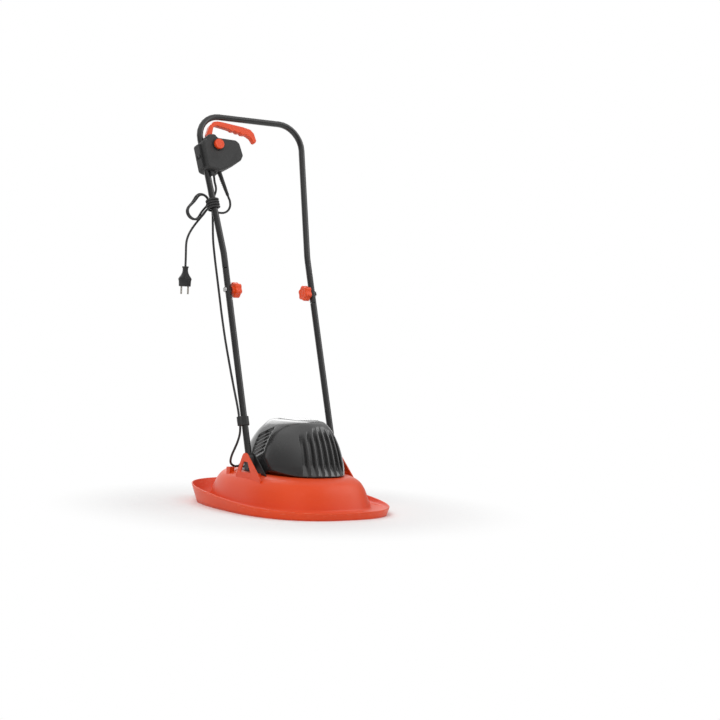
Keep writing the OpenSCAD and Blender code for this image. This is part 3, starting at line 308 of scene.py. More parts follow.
def piece(name, verts, faces, finish, body, stands_for):
    """A mesh with smooth faces that rides on a body, or on none when no body is given."""
    made = plain_object(name, verts, faces)
    made.data.polygons.foreach_set("use_smooth", [True] * len(made.data.polygons))
    made.data.materials.append(finish.material)
    if body:
        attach(made, body)
    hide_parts(*stands_for)
    return made


def even_shading(made):
    modifier = made.modifiers.new("shading", "WEIGHTED_NORMAL")
    modifier.keep_sharp = False


def loft(rings, closed=False, capped=True):
    """Vertices and faces of a skin through rings of equal length, back to the first ring if closed."""
    sides = len(rings[0])
    verts = [p for ring in rings for p in ring]
    faces = []
    for r in range(len(rings) if closed else len(rings) - 1):
        low = r * sides
        high = (r + 1) % len(rings) * sides
        for i in range(sides):
            j = (i + 1) % sides
            faces.append((low + i, low + j, high + j, high + i))
    if capped and not closed:
        faces.append(tuple(reversed(range(sides))))
        faces.append(tuple(range((len(rings) - 1) * sides, len(rings) * sides)))
    return verts, faces


def shell(outer, inner):
    """A hollow skin: outer and inner rings run from an open rim to a closed end."""
    sides = len(outer[0])
    verts, faces = loft(outer, capped=False)
    base = len(verts)
    more, inner_faces = loft(inner, capped=False)
    verts = verts + more
    faces += [tuple(base + i for i in reversed(f)) for f in inner_faces]
    faces.append(tuple(range(base - sides, base)))
    faces.append(tuple(reversed(range(len(verts) - sides, len(verts)))))
    for i in range(sides):
        j = (i + 1) % sides
        faces.append((j, i, base + i, base + j))
    return verts, faces


def cut(verts, faces, cutters):
    """Vertices and faces after boxes or drums are cut away."""
    made = plain_object("to_cut", verts, faces)
    tools = [plain_object("cutter", *cutter) for cutter in cutters]
    for tool in tools:
        modifier = made.modifiers.new("cut", "BOOLEAN")
        modifier.operation = "DIFFERENCE"
        modifier.solver = "EXACT"
        modifier.object = tool
    mesh = bpy.data.meshes.new_from_object(made.evaluated_get(bpy.context.evaluated_depsgraph_get()))
    verts = [v.co.copy() for v in mesh.vertices]
    faces = [tuple(p.vertices) for p in mesh.polygons]
    for old in [made] + tools:
        bpy.data.objects.remove(old)
    return verts, faces


def circle(sides):
    """The angles of points evenly round a circle."""
    return [2 * math.pi * k / sides for k in range(sides)]


def quarter(k, steps):
    """The angle of a step round a quarter turn."""
    return math.pi / 2 * k / steps


def rounded(corners, radius, steps):
    """A closed outline with its corners rounded."""
    outline = []
    for i, corner in enumerate(corners):
        back = corners[i - 1] - corner
        on = corners[(i + 1) % len(corners)] - corner
        half = back.angle(on) / 2
        reach = max(radius / math.tan(half), radius * LEAST_REACH_SHARE)
        reach = min(reach, MOST_REACH_SHARE * back.length, MOST_REACH_SHARE * on.length)
        first = corner + back.normalized() * reach
        last = corner + on.normalized() * reach
        for k in range(steps + 1):
            s = k / steps
            outline.append(first * (1 - s) ** 2 + corner * (2 * s * (1 - s)) + last * s * s)
    return outline


def inset(outline, depth):
    """An outline drawn in along its normals; the outline runs anticlockwise."""
    drawn = []
    for i, p in enumerate(outline):
        way = (outline[(i + 1) % len(outline)] - outline[i - 1]).normalized()
        drawn.append(p + depth * Vector((-way.y, way.x)))
    return drawn


def even_places(points, count):
    """Places that part a line of points evenly, each an index and a share of the way to the next point."""
    walk = [0.0]
    for a, b in zip(points, points[1:]):
        walk.append(walk[-1] + (b - a).length)
    places = []
    k = 0
    for i in range(count):
        goal = walk[-1] * i / count
        while walk[k + 1] < goal:
            k += 1
        places.append((k, (goal - walk[k]) / (walk[k + 1] - walk[k])))
    return places


def smooth_route(points, steps):
    """Catmull-Rom curve through points."""
    route = []
    for i in range(len(points) - 1):
        a = points[max(i - 1, 0)]
        b = points[i]
        c = points[i + 1]
        d = points[min(i + 2, len(points) - 1)]
        for k in range(steps):
            s = k / steps
            route.append((2 * b + (c - a) * s + (2 * a - 5 * b + 4 * c - d) * s * s
                          + (3 * b - a - 3 * c + d) * s ** 3) / 2)
    return route + [points[-1]]


def tube_rings(route, radius, sides):
    """Rings along a route, carried without twist."""
    rings = []
    across = Vector((1, 0, 0))
    for i, point in enumerate(route):
        way = (route[min(i + 1, len(route) - 1)] - route[max(i - 1, 0)]).normalized()
        across = (across - across.dot(way) * way).normalized()
        other = way.cross(across)
        rings.append([point + radius * (math.cos(a) * across + math.sin(a) * other) for a in circle(sides)])
    return rings


# Deck: the oval rings of the hood, evenly spaced round the rim
DECK_POWER = 2.6
DECK_SIDES = 192
deck_low, deck_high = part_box("deck_hood")
DECK_HALF = Vector(((deck_high.x - deck_low.x) / 2, (deck_high.y - deck_low.y) / 2))
DOME_Z = deck_high.z
RIM_REAR = 0.047
RIM_FRONT = 0.019
RIM_FLARE = 0.3
RIM_SHARES = (0.25, 0.5, 0.75)
DECK_WALL = 0.003
LIP = DECK_WALL / 2
LIP_STEPS = 6
INNER_SHARES = (0.3, 0.7)
GUTTER_Z = 0.014
GUTTER_W = 0.042
GUTTER_FILLET = 0.003
FILLET_SHARES = (0.3, 1.0)
FILLET_RISE_SHARE = 0.3
FOOT_RISE_SHARE = 0.1
PLATEAU_HALF = Vector((0.112, 0.172))
INTAKE_HALF = Vector((0.075, 0.075))
ROUND_POWER = 2
# Profile of the dome: shares of the way in to the plateau and of the way up
DOME_SHARES = [(0, 0), (0.14, 0.3), (0.3, 0.6), (0.48, 0.8), (0.66, 0.905), (0.85, 0.97), (1, 1)]
DOME_STEPS = 5
OVAL_STEPS = 7200
LIP_WEAR = 1.0
FACE_WEAR = 0.12


def oval_point(angle, power):
    c = math.cos(angle)
    s = math.sin(angle)
    return Vector((math.copysign(abs(c) ** (2 / power), c), math.copysign(abs(s) ** (2 / power), s)))


def even_angles(half, power, count):
    """Angles whose points lie evenly along a squarish oval."""
    fine = [2 * math.pi * i / OVAL_STEPS for i in range(OVAL_STEPS + 1)]
    ways = [oval_point(a, power) for a in fine]
    places = even_places([Vector((w.x * half.x, w.y * half.y)) for w in ways], count)
    return [mix(fine[k], fine[k + 1], share) for k, share in places]


DECK_ANGLES = even_angles(DECK_HALF, DECK_POWER, DECK_SIDES)


def rim_ring(inward, height):
    """A ring near the rim; how far inward and how high it lies are functions of the rim's height."""
    ring = []
    for a in DECK_ANGLES:
        w = oval_point(a, DECK_POWER)
        h = mix(RIM_FRONT, RIM_REAR, ease((w.y + 1) / 2))
        d = inward(h)
        ring.append(Vector(((DECK_HALF.x - d) * w.x, (DECK_HALF.y - d) * w.y, height(h))))
    return ring


def flat_ring(half, z, power=DECK_POWER):
    ways = [oval_point(a, power) for a in DECK_ANGLES]
    return [Vector((half.x * w.x, half.y * w.y, z)) for w in ways]


def dome_profile(depth):
    """Rings of the dome from its foot to the plateau, sunk by a depth along the normal."""
    foot = DECK_HALF - Vector((GUTTER_W, GUTTER_W))
    shares = smooth_route([Vector(s) for s in DOME_SHARES], DOME_STEPS)
    outline = [(foot.lerp(PLATEAU_HALF, s.x), mix(GUTTER_Z, DOME_Z, s.y)) for s in shares]
    rings = []
    for i, (half, z) in enumerate(outline):
        before = outline[max(i - 1, 0)]
        after = outline[min(i + 1, len(outline) - 1)]
        way = Vector((after[0].x - before[0].x, after[1] - before[1])).normalized()
        sunk = Vector((way.y * depth, way.y * depth))
        rings.append(flat_ring(half - sunk, z + way.x * depth))
    return rings


def rim_rings():
    """Rings from the foot of the rim up its outside, over the lip and down to the gutter."""
    rings = [rim_ring(lambda h: h * RIM_FLARE, lambda h: 0)]
    for share in RIM_SHARES:
        rings.append(rim_ring(lambda h: (1 - share) * h * RIM_FLARE, lambda h: share * (h - LIP)))
    for k in range(LIP_STEPS + 1):
        turn = math.pi * k / LIP_STEPS
        rings.append(rim_ring(lambda h: LIP - LIP * math.cos(turn),
                              lambda h: h - LIP + LIP * math.sin(turn)))
    for share in INNER_SHARES:
        rings.append(rim_ring(lambda h: DECK_WALL + share * (h - LIP - GUTTER_Z) * RIM_FLARE,
                              lambda h: mix(h - LIP, GUTTER_Z + GUTTER_FILLET, share)))
    for share in FILLET_SHARES:
        rings.append(rim_ring(lambda h: DECK_WALL + (h - GUTTER_Z) * RIM_FLARE + share * GUTTER_FILLET,
                              lambda h: GUTTER_Z + (1 - share) * GUTTER_FILLET * FILLET_RISE_SHARE))
    return rings


def make_deck():
    rings = rim_rings()
    foot = DECK_HALF - Vector((GUTTER_W - GUTTER_FILLET, GUTTER_W - GUTTER_FILLET))
    rings.append(flat_ring(foot, GUTTER_Z + GUTTER_FILLET * FOOT_RISE_SHARE))
    rings += dome_profile(0)[1:]
    rings.append(flat_ring(INTAKE_HALF, DOME_Z, ROUND_POWER))
    rings.append(flat_ring(INTAKE_HALF, DOME_Z - DECK_WALL, ROUND_POWER))
    rings += list(reversed(dome_profile(DECK_WALL)))[1:]
    rings.append(rim_ring(lambda h: DECK_WALL + (h - GUTTER_Z + DECK_WALL) * RIM_FLARE,
                          lambda h: GUTTER_Z - DECK_WALL))
    rings.append(rim_ring(lambda h: DECK_WALL + h * RIM_FLARE, lambda h: 0))
    verts, faces = loft(rings, closed=True)
    made = piece("hood_shell", verts, faces, hood_orange, "deck", ["deck_hood"])
    rows = [FACE_WEAR] * len(rings)
    for worn in [0, *range(len(RIM_SHARES), len(RIM_SHARES) + LIP_STEPS + len(INNER_SHARES) + 1)]:
        rows[worn] = LIP_WEAR
    wear = made.data.attributes.new("wear", "FLOAT", "POINT")
    wear.data.foreach_set("value", [row for row in rows for _ in range(DECK_SIDES)])


make_deck()

# Motor cover: a tapering shell with a grooved front, louvred sides and arched side edges
COVER_POWER = 3.0
COVER_COLUMNS = 220
COVER_STEPS = 13
COVER_FINE = 600
FRONT_PASSES = 12
cover_low, cover_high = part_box("motor_cover")
COVER_HALF_W = (cover_high.x - cover_low.x) / 2
COVER_FRONT = -cover_low.y
COVER_REAR = cover_high.y
COVER_H = cover_high.z - DOME_Z
COVER_WALL = 0.012
COVER_TAPER = 0.22
# Rows of the cover: shares of its height, half width, front and rear
COVER_SHARES = [(0, 1, 1, 1), (0.22, 0.98, 0.965, 0.95), (0.5, 0.89, 0.885, 0.80), (0.74, 0.75, 0.79, 0.62),
                (0.89, 0.61, 0.71, 0.46), (0.97, 0.5, 0.64, 0.36), (1, 0.4, 0.56, 0.26)]
CROWN_SHARES = (0.96, 0.6, 0.2)
GROOVES = 7
GROOVE_COLUMNS = 14
GROOVE_COUNT = GROOVES * GROOVE_COLUMNS
GROOVE_DEPTH = 0.011
GROOVE_SPAN = 0.062
GROOVE_SPAN_SHARE = 0.78
GROOVE_NARROWING = 0.15
GROOVE_LOW = 0.02
GROOVE_HIGH = 0.93
GROOVE_SIDE_DROP = 0.1
GROOVE_FADE_LOW = 0.2
GROOVE_FADE_HIGH = 0.3
GROOVE_WIDTH_SHARE = 0.8
GROOVE_FLANK_SHARE = 0.42
LOUVRES = 6
LOUVRE_PITCH = 0.010
LOUVRE_RISE = 0.040
LOUVRE_LOW = DOME_Z + LOUVRE_RISE
LOUVRE_DEPTH = 0.008
LOUVRE_FRONT = -0.030
LOUVRE_BACK = 0.018
LOUVRE_EDGE = 0.004
LOUVRE_RAKE = 0.5
LOUVRE_LIP_SHARE = 0.15
LOUVRE_SIDE = COVER_HALF_W / 2
ARCH_LIFT = 0.010
FRONT_LIFT = 0.003
ARCH_BACK = -0.045
ARCH_BACK_EASE = 0.012
ARCH_FRONT = -0.15
ARCH_FRONT_EASE = 0.08
ARCH_LEVEL = 0.3


def cover_row(shares, wall):
    """A ring of the cover at a row of shares: grooved front columns first, then the sides and rear."""
    level = shares[0]
    half_w = COVER_HALF_W * shares[1] - wall
    front = COVER_FRONT * shares[2] - wall
    rear = COVER_REAR * shares[3] - wall
    z = DOME_Z + (COVER_H - wall) * level

    def narrowed(y):
        return half_w * (1 - COVER_TAPER * max(-y / COVER_FRONT, 0) ** 2)

    def front_y(x):
        y = -front
        for _ in range(FRONT_PASSES):
            y = -front * (1 - min(abs(x) / narrowed(y), 1) ** COVER_POWER) ** (1 / COVER_POWER)
        return y

    def around(angle):
        w = oval_point(angle, COVER_POWER)
        y = (front if w.y < 0 else rear) * w.y
        return Vector((narrowed(y) * w.x, y, z))

    span = min(GROOVE_SPAN * (1 - GROOVE_NARROWING * level), GROOVE_SPAN_SHARE * narrowed(-front))
    xs = [mix(-span, span, k / GROOVE_COUNT) for k in range(GROOVE_COUNT + 1)]
    ring = [Vector((x, front_y(x), z)) for x in xs]
    edge = math.acos(min(span / narrowed(ring[-1].y), 1) ** (COVER_POWER / 2))
    fine = [around(mix(-edge, math.pi + edge, i / COVER_FINE)) for i in range(COVER_FINE + 1)]
    return ring + [fine[k].lerp(fine[k + 1], share) for k, share in even_places(fine, COVER_COLUMNS)[1:]]


def groove_cut(column, level):
    """How far a front groove draws a column in at a level."""
    if column > GROOVE_COUNT:
        return 0.0
    off = abs((column / GROOVE_COLUMNS) % 1.0 - 0.5) * 2
    side = abs(column / GROOVE_COUNT - 0.5) * 2
    top = GROOVE_HIGH - GROOVE_SIDE_DROP * side * side
    start = min(max((level - GROOVE_LOW) / GROOVE_FADE_LOW, 0), 1)
    ends = start * ease((top - level) / GROOVE_FADE_HIGH)
    return GROOVE_DEPTH * ease((GROOVE_WIDTH_SHARE - off) / GROOVE_FLANK_SHARE) * ends


def louvre_cut(p):
    """How far a side louvre steps a point of the cover in."""
    rise = (p.z - LOUVRE_LOW + LOUVRE_RAKE * p.y) / LOUVRE_PITCH
    if not 0 < rise < LOUVRES or abs(p.x) < LOUVRE_SIDE:
        return 0.0
    width = ease((p.y - LOUVRE_FRONT) / LOUVRE_EDGE) * ease((LOUVRE_BACK - p.y) / LOUVRE_EDGE)
    return LOUVRE_DEPTH * width * (1 - rise % 1.0) * ease((rise % 1.0) / LOUVRE_LIP_SHARE)


def arch_lift(p, level):
    """How far the lower edge is lifted along the sides and the front."""
    ahead = ease((ARCH_BACK - p.y) / ARCH_BACK_EASE)
    arch = ahead * ease((p.y - ARCH_FRONT) / ARCH_FRONT_EASE)
    return (ARCH_LIFT * arch + FRONT_LIFT * ahead) * max(1 - level / ARCH_LEVEL, 0) ** 2


def make_cover():
    rows = smooth_route([Vector(s) for s in COVER_SHARES], COVER_STEPS)
    outer = []
    for shares in rows:
        level = shares[0]
        ring = []
        for column, p in enumerate(cover_row(shares, 0)):
            sideways = -math.copysign(louvre_cut(p), p.x)
            ring.append(p + Vector((sideways, groove_cut(column, level), arch_lift(p, level))))
        outer.append(ring)
    inner = [cover_row(shares, COVER_WALL) for shares in rows]
    for rings in (outer, inner):
        last = rings[-1]
        middle = sum(last, Vector()) / len(last)
        rings += [[middle.lerp(p, share) for p in last] for share in CROWN_SHARES]
    verts, faces = shell(outer, inner)
    piece("cover_shell", verts, faces, cover_black, "deck", ["motor_cover"])


make_cover()

# Switch box halves, hollow, and the squeezed lever, drawn in the box's frame in millimetres
BOX_T = 780
BOX_W = 112
BOX_H = 97
BOX_BACK = 10
BOX_DEPTH = 26
BOX_WALL = 3
BOX_CORNER = 9
BOX_CORNER_STEPS = 5
BOX_EDGE = 5
BOX_INNER_EDGE = 2
BOX_SPLIT = 0.12
# Outline of the box: shares of its width and height
BOX_SHARES = [(0, 0.1), (0.12, 0.04), (0.3, 0), (0.5, 0.06), (0.92, 0.27), (1, 0.4), (0.97, 0.74),
              (0.89, 0.83), (0.42, 0.9), (0.37, 1), (0.19, 1), (0.14, 0.87), (0, 0.83)]
BUTTON_SHARE = (0.385, 0.7)
BUTTON_ROOM = 13.3
BUTTON_ROOM_BACK = -5
BUTTON_SIDES = 64
CUT_OVERRUN = 5
LEVER_SHARE = (0.307, 0.891)
LEVER_L = 147
LEVER_H = 55
LEVER_T = 14
LEVER_BACK = 7
LEVER_EDGE = 2
LEVER_CORNER = 3
LEVER_CORNER_STEPS = 4
LEVER_ROOT = [(-8, -36), (-1, -36), (-1, -9), (6, -7), (8, 0)]
# Outline of the grip: shares of the lever's length and height
LEVER_SHARES = [(0.105, 0.1), (0.11, 0.36), (0.15, 0.68), (0.21, 0.77), (0.33, 0.715), (0.44, 0.66),
                (0.475, 0.64), (0.505, 0.578), (0.545, 0.578), (0.575, 0.605), (0.605, 0.525), (0.645, 0.52),
                (0.675, 0.545), (0.705, 0.462), (0.76, 0.462), (0.79, 0.475), (0.83, 0.425), (0.885, 0.33),
                (0.93, 0.12), (0.965, 0.1), (0.995, 0.22), (0.965, 0.58), (0.9, 0.76), (0.75, 0.85),
                (0.55, 0.915), (0.35, 0.98), (0.25, 0.995), (0.163, 0.95), (0.07, 0.7), (0, 0.3),
                (-0.01, 0.05)]
SLOT_HALF = 9.5
SLOT_CLEARANCE = 0.3
SLOT_SIDE = LEVER_T / 2 + SLOT_CLEARANCE
SLOT_LOW = -11
SLOT_HIGH = 40


def box_point(share):
    return Vector((share[0] * BOX_W - BOX_BACK, share[1] * BOX_H - BOX_H / 2))


def off_box(x, y, z):
    """A point of the box's frame, which follows the flared leg, as a point of the shared frame."""
    return off_handle(-leg_at(BOX_T) + x * math.cos(FLARE) - z * math.sin(FLARE), y,
                      BOX_T + x * math.sin(FLARE) + z * math.cos(FLARE))


def off_lever(x, y, z):
    """A point of the lever's frame, upright at its pin, as a point of the shared frame."""
    pin = box_point(LEVER_SHARE)
    place = off_box(pin.x, 0, pin.y)
    return place + x * MM * Vector((1, 0, 0)) + y * MM * HANDLE_BACK + z * MM * HANDLE_UP


def brick(place, low, high):
    """Corners and faces of a block drawn in a frame."""
    xs, ys, zs = zip(low, high)
    corners = [place(x, y, z) for x in xs for y in ys for z in zs]
    return corners, [(0, 1, 3, 2), (4, 6, 7, 5), (0, 4, 5, 1), (2, 3, 7, 6), (0, 2, 6, 4), (1, 5, 7, 3)]


def edge_rings(outline, place, depth, edge, face):
    """Rings at a rounded edge: from the side of a slab to its face."""
    rings = []
    for k in range(1, EDGE_STEPS + 1):
        a = quarter(k, EDGE_STEPS)
        drawn = inset(outline, edge * (1 - math.cos(a)))
        rings.append([place(p.x, face * (depth - edge + edge * math.sin(a)), p.y) for p in drawn])
    return rings


def make_box_half(name, face, node):
    def ring_at(outline, depth):
        return [off_box(p.x, face * depth, p.y) for p in outline]

    outline = rounded([box_point(s) for s in BOX_SHARES], BOX_CORNER, BOX_CORNER_STEPS)
    outer = [ring_at(outline, BOX_SPLIT), ring_at(outline, BOX_DEPTH - BOX_EDGE)]
    outer += edge_rings(outline, off_box, BOX_DEPTH, BOX_EDGE, face)
    hollow = inset(outline, BOX_WALL)
    inner = [ring_at(hollow, BOX_SPLIT), ring_at(hollow, BOX_DEPTH - BOX_WALL - BOX_INNER_EDGE),
             ring_at(inset(outline, BOX_WALL + BOX_INNER_EDGE), BOX_DEPTH - BOX_WALL)]
    verts, faces = shell(outer, inner)
    cutters = [brick(off_lever, (-SLOT_HALF, -SLOT_SIDE, SLOT_LOW), (SLOT_HALF, SLOT_SIDE, SLOT_HIGH))]
    if face < 0:
        middle = box_point(BUTTON_SHARE)
        room = [(middle.x + BUTTON_ROOM * math.cos(a), middle.y + BUTTON_ROOM * math.sin(a))
                for a in circle(BUTTON_SIDES)]
        ends = (-BOX_DEPTH - CUT_OVERRUN, BUTTON_ROOM_BACK)
        cutters.append(loft([[off_box(x, end, z) for x, z in room] for end in ends]))
    verts, faces = cut(verts, faces, cutters)
    made = piece(name, verts, faces, charcoal, "upper_handle", [node])
    even_shading(made)


def make_lever():
    shape = [Vector(p) for p in LEVER_ROOT]
    shape += [Vector((s[0] * LEVER_L - LEVER_BACK, s[1] * LEVER_H)) for s in LEVER_SHARES]
    shape = rounded(shape, LEVER_CORNER, LEVER_CORNER_STEPS)
    half = LEVER_T / 2
    rings = list(reversed(edge_rings(shape, off_lever, half, LEVER_EDGE, -1)))
    rings += [[off_lever(p.x, d, p.y) for p in shape] for d in (LEVER_EDGE - half, half - LEVER_EDGE)]
    rings += edge_rings(shape, off_lever, half, LEVER_EDGE, 1)
    verts, faces = loft(rings)
    made = piece("lever_moulding", verts, faces, orange, "lever_body", ["switch_lever"])
    even_shading(made)


make_box_half("box_front_moulding", -1, "switch_box_front")
make_box_half("box_rear_moulding", 1, "switch_box_rear")
make_lever()

# Mains lead: one free cord from the strain relief to the plug, in the handle frame until its last drop
CORD_D = 0.0056
LEAD_ROUTE = [(-92, 0, 677), (-90, 0, 670), (-88, 0, 663), (-88, 2, 650), (-94, 6, 639), (-104, 10, 634),
              (-116, 14, 635), (-126, 17.2, 638.5), (-131, 17.8, 639.6)]
TAIL_ROUTE = [(-138.3, 32, 648.1), (-142.1, 32, 644), (-152, 34.5, 632), (-168, 37.5, 616),
              (-184, 40.5, 598), (-196, 43, 580), (-203, 44, 563)]
TAIL_DROP = [(-206, 197, 636), (-206, 196, 610), (-206, 196, 597), (-206, 196, 584)]
LEAD_STEPS = 3
LEAD_ROUNDING = 3
TAIL_EASED = 24
TAIL_PASSES = 12
TIE_QUARTERS = 15
TIE_END = [(-121.5, 13, 666.5), (-122.6, 20.5, 664.6)]
TIE_R = 14.5
TIE_BACK = 3.3
TIE_PITCH = 6.4
TIE_LOW = 640
HANK_LOOPS = 2
HANK_STEP = 7
HANK_DRAW = 1
HANK_RUN = 21
HANK_OUT = 22.2
HANK_ENTRY = 5.6
HANK_PLACE = Vector((-165, 25, 652))
HANK_ALONG = Vector((-0.68, 0, -0.73)).normalized()
HANK_ACROSS = Vector((0.73, 0, -0.68)).normalized()
# Sections of the plug: millimetres below its top, half width and half depth
PLUG_SECTIONS = [(0, 7.2, 5.2), (0.6, 8.0, 5.6), (3.4, 8.0, 5.6), (4.2, 6.6, 5.2), (10, 6.3, 5.3),
                 (16, 7.4, 6.0), (22, 10.5, 7.2), (27, 14.5, 8.0), (30.5, 17.1, 8.4), (32.5, 17.4, 8.4),
                 (34.5, 16.4, 8.4), (37, 15.8, 8.4), (48.6, 15.2, 8.3), (49.7, 14.6, 7.8), (50, 13.6, 7.0)]
PLUG_SIDES = 64
PLUG_POWER = 3.2


def tie_point(turns):
    """A point of the turns round the leg."""
    t = TIE_LOW + TIE_PITCH * turns
    a = 2 * math.pi * turns
    return Vector((-leg_at(t) - TIE_R * math.sin(a), TIE_BACK + TIE_R * math.cos(a), t))


def hank_point(u):
    """A point of the hank: loops that spiral in and out again, climbing a layer between."""
    s = 4 * ((u * HANK_LOOPS) % 1.0)
    side = int(s)
    f = s - side
    w = HANK_OUT - HANK_STEP * HANK_LOOPS / 2 * (1 - abs(2 * u - 1))
    waist = w - HANK_DRAW * math.sin(math.pi * f) ** 2
    along, across = [(mix(-HANK_RUN, HANK_RUN, f), waist),
                     (HANK_RUN + w * math.sin(math.pi * f), w * math.cos(math.pi * f)),
                     (mix(HANK_RUN, -HANK_RUN, f), -waist),
                     (-HANK_RUN - w * math.sin(math.pi * f), -w * math.cos(math.pi * f))][side]
    layer = HANK_STEP * ease((u - 0.5) * 2 * HANK_LOOPS + 0.5)
    return HANK_PLACE + along * HANK_ALONG + across * HANK_ACROSS + Vector((0, layer, 0))


def eased(route, passes):
    """A route with its corners eased and its ends kept."""
    for _ in range(passes):
        inner = [(a + 2 * b + c) / 4 for a, b, c in zip(route, route[1:], route[2:])]
        route = [route[0]] + inner + [route[-1]]
    return route


def lead_points():
    """The lead's whole route: loop, turns round the leg, hank and hanging tail."""
    entry = HANK_PLACE - (HANK_RUN + HANK_ENTRY) * HANK_ALONG + HANK_OUT * HANK_ACROSS
    route = [Vector(p) for p in LEAD_ROUTE]
    route += [tie_point(i / LOOP_POINTS) for i in range(TIE_QUARTERS * LOOP_POINTS // 4 + 1)]
    route += [Vector(p) for p in TIE_END] + [entry - HANK_ENTRY * HANK_ALONG, entry]
    count = HANK_LOOPS * LOOP_POINTS
    route += [hank_point(i / count) for i in range(count)]
    route.append(HANK_PLACE - HANK_RUN * HANK_ALONG + HANK_OUT * HANK_ACROSS + Vector((0, HANK_STEP, 0)))
    route += [Vector(p) for p in TAIL_ROUTE]
    points = [off_handle(*p) for p in route] + [Vector(p) * MM for p in TAIL_DROP]
    route = smooth_route(points, LEAD_STEPS)
    return route[:-TAIL_EASED] + eased(route[-TAIL_EASED:], TAIL_PASSES)


def cord_length(points):
    return sum((b - a).length for a, b in zip(points, points[1:]))


def make_plug(top):
    """Moulded plug: a collar, a waist and a body with finger wings."""
    ways = [oval_point(a, PLUG_POWER) for a in circle(PLUG_SIDES)]
    rings = [[top + MM * Vector((half_x * w.x, -half_y * w.y, -down)) for w in ways]
             for down, half_x, half_y in PLUG_SECTIONS]
    verts, faces = loft(rings)
    return piece("plug_moulding", verts, faces, black, "upper_handle", ["plug_body"])


def make_lead():
    points = lead_points()
    curve = bpy.data.curves.new("mains_lead", "CURVE")
    curve.dimensions = "3D"
    curve.bevel_depth = CORD_D / 2
    curve.bevel_resolution = LEAD_ROUNDING
    curve.use_fill_caps = True
    spline = curve.splines.new("POLY")
    spline.points.add(len(points) - 1)
    for place, p in zip(spline.points, points):
        place.co = (*p, 1)
    spline.use_smooth = True
    made = bpy.data.objects.new("mains_lead", curve)
    bpy.context.collection.objects.link(made)
    curve.materials.append(cord_black.material)
    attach(made, "upper_handle")
    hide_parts("mains_lead_loop", "leg_tie", "mains_hank", "mains_tail")
    cord_length(points)
    make_plug(points[-1])


make_lead()

# Clamp knobs: soft lobes round a dished face, bored for the joint bolt, in millimetres
JOINT_T = 428
KNOB_SEAT = 8.5
KNOB_NECK = 4
KNOB_NECK_R = 9
KNOB_CHAMFER = 0.6
KNOB_FILLET = 0.8
KNOB_T = 18
KNOB_REACH = 18.1
KNOB_LOBES = 6
KNOB_LOBE = 1.9
KNOB_BORE_R = 3.05
KNOB_BORE = 25.6
KNOB_BACK_STEP = 4
KNOB_BACK_LOBE_SHARE = 0.8
KNOB_BACK_ROUND = 1.6
KNOB_ROUND = 3.6
KNOB_ROUND_STEPS = 6
KNOB_LOBE_FALL_SHARE = 0.3
KNOB_SIDES = 120
# Rings of the dished face: depth, reach and lobe
KNOB_DISH = [(0, 12.2, 0.7), (0.3, 11.6, 0.5), (1.1, 10.8, 0.2), (1.2, 10, 0), (1.2, 6, 0), (1.1, 5.6, 0),
             (0.5, 5.2, 0), (0.3, 4.4, 0), (0.3, 1, 0)]


def knob_ring(side, along, reach, lobe):
    """A ring round the joint bolt's axis, at a distance along it from the leg's middle."""
    x = side * (leg_at(JOINT_T) - along)
    ring = []
    for a in circle(KNOB_SIDES):
        r = reach + lobe * math.cos(KNOB_LOBES * a)
        ring.append(off_handle(x, r * math.sin(a), JOINT_T + r * math.cos(a)))
    return ring


def make_knob(name, body, node):
    side = math.copysign(1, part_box(node)[0].x)
    back = KNOB_SEAT + KNOB_NECK
    face = back + KNOB_T
    rows = [(KNOB_SEAT, KNOB_NECK_R - KNOB_CHAMFER, 0), (KNOB_SEAT + KNOB_CHAMFER, KNOB_NECK_R, 0),
            (back - KNOB_FILLET, KNOB_NECK_R, 0), (back, KNOB_NECK_R + KNOB_FILLET, 0),
            (back, KNOB_REACH - KNOB_BACK_STEP, KNOB_BACK_LOBE_SHARE * KNOB_LOBE)]
    for k in range(1, EDGE_STEPS + 1):
        a = quarter(k, EDGE_STEPS)
        rows.append((back + KNOB_BACK_ROUND * (1 - math.cos(a)),
                     KNOB_REACH - KNOB_BACK_ROUND * (1 - math.sin(a)), KNOB_LOBE))
    for k in range(KNOB_ROUND_STEPS + 1):
        a = quarter(k, KNOB_ROUND_STEPS)
        rows.append((face - KNOB_ROUND * (1 - math.sin(a)), KNOB_REACH - KNOB_ROUND * (1 - math.cos(a)),
                     KNOB_LOBE * (1 - KNOB_LOBE_FALL_SHARE * k / KNOB_ROUND_STEPS)))
    rows += [(face - depth, reach, lobe) for depth, reach, lobe in KNOB_DISH]
    outer = [knob_ring(side, *row) for row in rows]
    inner = [knob_ring(side, along, KNOB_BORE_R, 0) for along in (KNOB_SEAT, KNOB_BORE)]
    verts, faces = shell(outer, inner)
    made = piece(name, verts, faces, orange, body, [node])
    even_shading(made)


make_knob("right_knob_moulding", "knob_right_body", "knob_right")
make_knob("left_knob_moulding", "knob_left_body", "knob_left")

# Button spring: a wire coil between the lock button and its post
SPRING_R = 5.5
SPRING_WIRE_R = 0.7
SPRING_WIRE_SIDES = 12
SPRING_TURNS = 4
SPRING_SEAT = 0.2
BUTTON_SKIRT = 9
POST_GAP = 6


